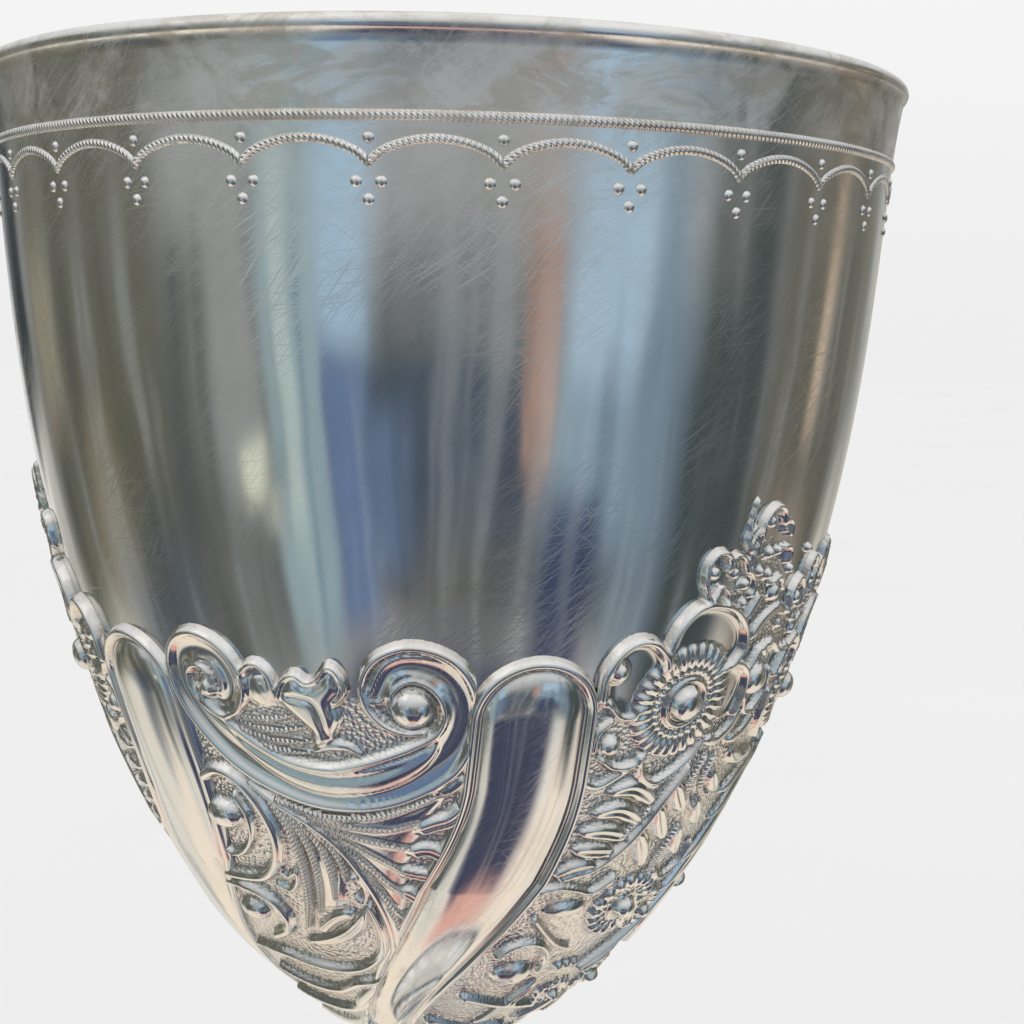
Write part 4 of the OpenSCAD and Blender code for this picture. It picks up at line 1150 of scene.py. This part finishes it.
nut_low, nut_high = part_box("fixing_nut")
nut_flats, nut_bore = 10.0, 2.55
nut_bottom, nut_top = nut_low.z / MM, nut_high.z / MM
bpy.ops.object.select_all(action="DESELECT")
bpy.ops.mesh.primitive_cylinder_add(vertices=6, radius=nut_flats / sqrt(3) * MM,
                                    depth=(nut_top - nut_bottom) * MM,
                                    location=(0, 0, (nut_top + nut_bottom) / 2 * MM),
                                    rotation=(0, 0, radians(30)))
nut = bpy.context.object
nut.name = nut.data.name = "fixing_nut_cut"
bpy.ops.object.transform_apply(location=True, rotation=True, scale=True)
cut_outline = [(nut_bore, nut_bottom - 0.05), (4.75, nut_bottom - 0.05), (6.2, nut_bottom + 0.75),
               (6.2, nut_top - 0.75),
               (4.75, nut_top + 0.05), (nut_bore, nut_top + 0.05), (nut_bore, nut_bottom - 0.05)]
rounding = turn("nut_rounding", cut_outline, 96, 30)
cutter = nut.modifiers.new("rounded", "BOOLEAN")
cutter.operation, cutter.solver, cutter.object = "INTERSECT", "EXACT", rounding
bpy.ops.object.select_all(action="DESELECT")
nut.select_set(True)
bpy.context.view_layer.objects.active = nut
bpy.ops.object.modifier_apply(modifier="rounded")
bpy.data.objects.remove(rounding)
soft_corner = nut.modifiers.new("soft_corner", "BEVEL")
soft_corner.width, soft_corner.segments, soft_corner.angle_limit = 0.12 * MM, 2, radians(30)
bpy.ops.object.modifier_apply(modifier="soft_corner")
bpy.ops.object.shade_smooth_by_angle(angle=radians(30))
finished(nut, brass_finish, "brass", "fixing_nut")

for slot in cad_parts["spring_washer"].material_slots:
    slot.material = steel_finish

# ---------------------------------------------------------------------------------------------------
# The photographer's table: a pale floor, a soft room, and a camera close to the bowl and a little below
# its lip. The silver shows the room: teal and pink hangings, a dark space round the camera, white walls.
floor_radius = 4.0
bpy.ops.object.select_all(action="DESELECT")
bpy.ops.mesh.primitive_circle_add(vertices=96, radius=floor_radius, fill_type="NGON",
                                  location=(0, 0, -0.0002))
floor = bpy.context.object
floor.name = "floor"
floor.visible_glossy = False
floor_finish, floor_shader, floor_place = new_finish("pale_floor")
floor_tone = floor_place.noise(6, 3.0).ease(0.2, 0.8)
floor_colour = floor_tone.blend(colour(0.797, 0.797, 0.800), colour(0.813, 0.813, 0.816))
feed(floor_shader, Roughness=0.85, Base_Color=floor_colour)
floor_shader.inputs["Specular IOR Level"].default_value = 0.1
floor.data.materials.append(floor_finish)

room = bpy.data.worlds.new("soft_room")
bpy.context.scene.world = room
room.use_nodes = True
room.node_tree.nodes.clear()
toward = Value(room.node_tree.nodes.new("ShaderNodeTexCoord").outputs["Generated"])
east, north, up = toward.parts()
wavy = toward.noise(2.6, 2.0)
round_room = east.maths("ARCTAN2", -1.0 * north) * (180 / pi) + (wavy - 0.5) * 9
rise = up.maths("ARCSINE") * (180 / pi) + (toward.noise(3.4, 1.0) - 0.5) * 8


def shade(r, g, b):
    """A tone given as it looks on a screen, from 0 to 255."""
    return tuple(((v / 255 + 0.055) / 1.055) ** 2.4 if v > 10 else v / 255 / 12.92 for v in (r, g, b))


def hanging(walls, left, right, low, high, side, end, tone, strength=1.0):
    """A soft-edged patch of the room, between two bearings and two heights in degrees."""
    mask = (round_room.ease(left - side, left + side) * round_room.ease(right + side, right - side)
            * rise.ease(low - end, low + end) * rise.ease(high + end, high - end)) * strength
    return mask.blend(walls, colour(*shade(*tone)))


walls = rise.node("ShaderNodeValToRGB", {"stops": [
    (0.0, shade(240, 222, 214)), (0.13, shade(242, 226, 216)), (0.19, shade(236, 232, 224)),
                                                   (0.25, shade(205, 204, 200)),
    (0.30, shade(98, 104, 108)), (0.36, shade(70, 82, 98)), (0.41, shade(78, 90, 102)),
                                                   (0.44, shade(120, 126, 128)),
    (0.47, shade(160, 164, 166)), (0.55, shade(190, 195, 198)), (0.66, shade(222, 226, 230)),
                                                   (1.0, shade(250, 250, 250))]},
    {0: rise * (1 / 180) + 0.5})
for patch in (
    # the two white sides of the room, which rise further round the back
    (64, 200, -95, -44, 14, 8, (248, 235, 218), 1.0), (98, 200, -60, -24, 9, 6, (236, 228, 214), 1.0),
    (-200, -108, -95, -17, 7, 3, (228, 224, 212), 1.0), (-200, -70, -95, -44, 12, 6, (244, 232, 214), 1.0),
    (138, 200, -40, -9, 9, 4, (204, 199, 185), 1.0), (-200, -136, -40, -7, 7, 3, (226, 223, 216), 1.0),
    (152, 200, -12, 12, 6, 4, (186, 182, 172), 1.0), (-200, -151, -12, -1, 4, 3, (226, 226, 224), 1.0),
    # dull olive places beside them
    (92, 140, -26, 14, 7, 6, (98, 97, 88), 0.95), (-136, -74, -26, 12, 6, 7, (94, 95, 84), 0.95),
    (-114, -98, -24, -12, 3, 4, (128, 120, 102), 0.8), (-131, -120, -10, -1, 2.5, 3, (150, 145, 128), 0.8),
    (104, 128, -33, -17, 5, 4, (146, 136, 126), 0.9), (114, 119, -12, 1, 1.6, 3, (196, 178, 158), 0.9),
    (134, 147, -7, 4, 4, 3, (116, 116, 106), 0.8), (-152, -138, -7, 14, 3.5, 3, (58, 62, 64), 1.0),
    (68, 92, -46, 6, 5, 5, (70, 79, 80), 1.0), (70, 80, -8, 8, 4, 3, (112, 118, 116), 0.6),
    (-76, -62, -50, -4, 4, 4, (99, 103, 100), 0.95),
    # hangings: pale teal and blue on the left, blue on the right
    (-62, -48, -26, 0, 2, 4, (146, 150, 149), 0.9), (-62, -44, -44, -24, 4, 4, (118, 124, 122), 0.8),
    (-48, -31, -40, -2, 1.2, 5, (146, 168, 176), 0.95), (-44, -39.5, -30, -3, 0.6, 4, (178, 196, 194), 0.9),
    (-37.8, -36.2, -38, -6, 0.5, 4, (108, 136, 150), 0.8), (-31, -18, -13, 2, 2.5, 3, (160, 190, 214), 1.0),
    (-31, -19, -40, -13, 3, 3, (100, 122, 158), 0.95), (-20, -9, -34, -20, 4, 3, (100, 120, 148), 0.9),
    (-14, 18, -13, -6, 4, 3, (112, 118, 122), 0.8),
    (-56, -50, -24.5, -19, 1.6, 1.6, (212, 216, 200), 1.0),
              (-52, -46, -29, -24, 1.6, 1.6, (186, 190, 180), 0.7),
    (30, 62, -29, 4, 4, 4, (136, 160, 178), 0.95), (33, 52, -16, 2, 2, 3, (170, 198, 222), 0.9),
    (50, 68, -40, -8, 4, 5, (108, 128, 144), 0.65), (29, 46, -44, -26, 4, 3, (56, 70, 104), 0.9),
    (20, 29.5, -24, -5, 1.0, 1.5, (168, 142, 131), 1.0),
              (22, 27.5, -27, -20, 1.0, 2, (146, 126, 120), 0.85),
    (-8, 20, -42, -33, 8, 4, (92, 93, 91), 0.8),
    # a dark space round the camera, pink below it, and two windows above
    (-36, 50, -76, -42, 7, 5, (50, 58, 86), 0.97), (-64, 64, -95, -72, 26, 6, (232, 178, 164), 0.95),
    (-82, -46, -66, -46, 6, 5, (222, 220, 210), 0.9),
    (-75, -35, 30, 62, 6, 5, (255, 255, 255), 1.0), (30, 60, 40, 66, 6, 5, (240, 244, 250), 1.0)):
    walls = hanging(walls, *patch)
folds = round_room.node("ShaderNodeCombineXYZ", {},
                        {0: round_room * 0.11, 1: rise * 0.018, 2: 0.0}).noise(1.0, 4.0, 0.6)
walls = (folds.ease(0.50, 0.64) * 0.20).blend(walls, colour(*shade(205, 214, 218)))
walls = (folds.ease(0.47, 0.34) * 0.34).blend(walls, colour(*shade(52, 58, 66)))
paper = up.ease(-0.02, 0.22).blend(colour(0.856, 0.856, 0.858), colour(0.912, 0.912, 0.914))
seen = room.node_tree.nodes.new("ShaderNodeLightPath")
mirrored, direct = Value(seen.outputs["Is Glossy Ray"]), Value(seen.outputs["Is Camera Ray"])
soft_light = up.ease(-0.4, 0.9).blend(colour(0.80, 0.80, 0.81), colour(1.12, 1.12, 1.12))
shown = mirrored.blend(direct.blend(soft_light, paper), walls)
lit = shown.node("ShaderNodeBackground", {}, {"Color": shown, "Strength": 1.0})
room_out = room.node_tree.nodes.new("ShaderNodeOutputWorld")
room.node_tree.links.new(lit.socket, room_out.inputs["Surface"])

bpy.context.scene.view_settings.view_transform = "Standard"
lens = bpy.data.cameras.new("camera")
lens.lens, lens.sensor_width, lens.clip_start, lens.clip_end = 56.25, 36.0, 0.005, 50.0
camera = bpy.data.objects.new("camera", lens)
bpy.context.scene.collection.objects.link(camera)
camera_yaw, camera_pitch, camera_roll = radians(2.491), radians(7.214), radians(1.208)
forward = Vector((sin(camera_yaw) * cos(camera_pitch), cos(camera_yaw) * cos(camera_pitch),
                  -sin(camera_pitch)))
level = Vector((cos(camera_yaw), -sin(camera_yaw), 0))
over = level.cross(forward)
right = cos(camera_roll) * level + sin(camera_roll) * over
above = -sin(camera_roll) * level + cos(camera_roll) * over
turned = Matrix((right, above, -forward)).transposed().to_4x4()
camera.matrix_world = Matrix.Translation(Vector((0, -155.2, lip_z - 19.5)) * MM) @ turned
bpy.context.scene.camera = camera
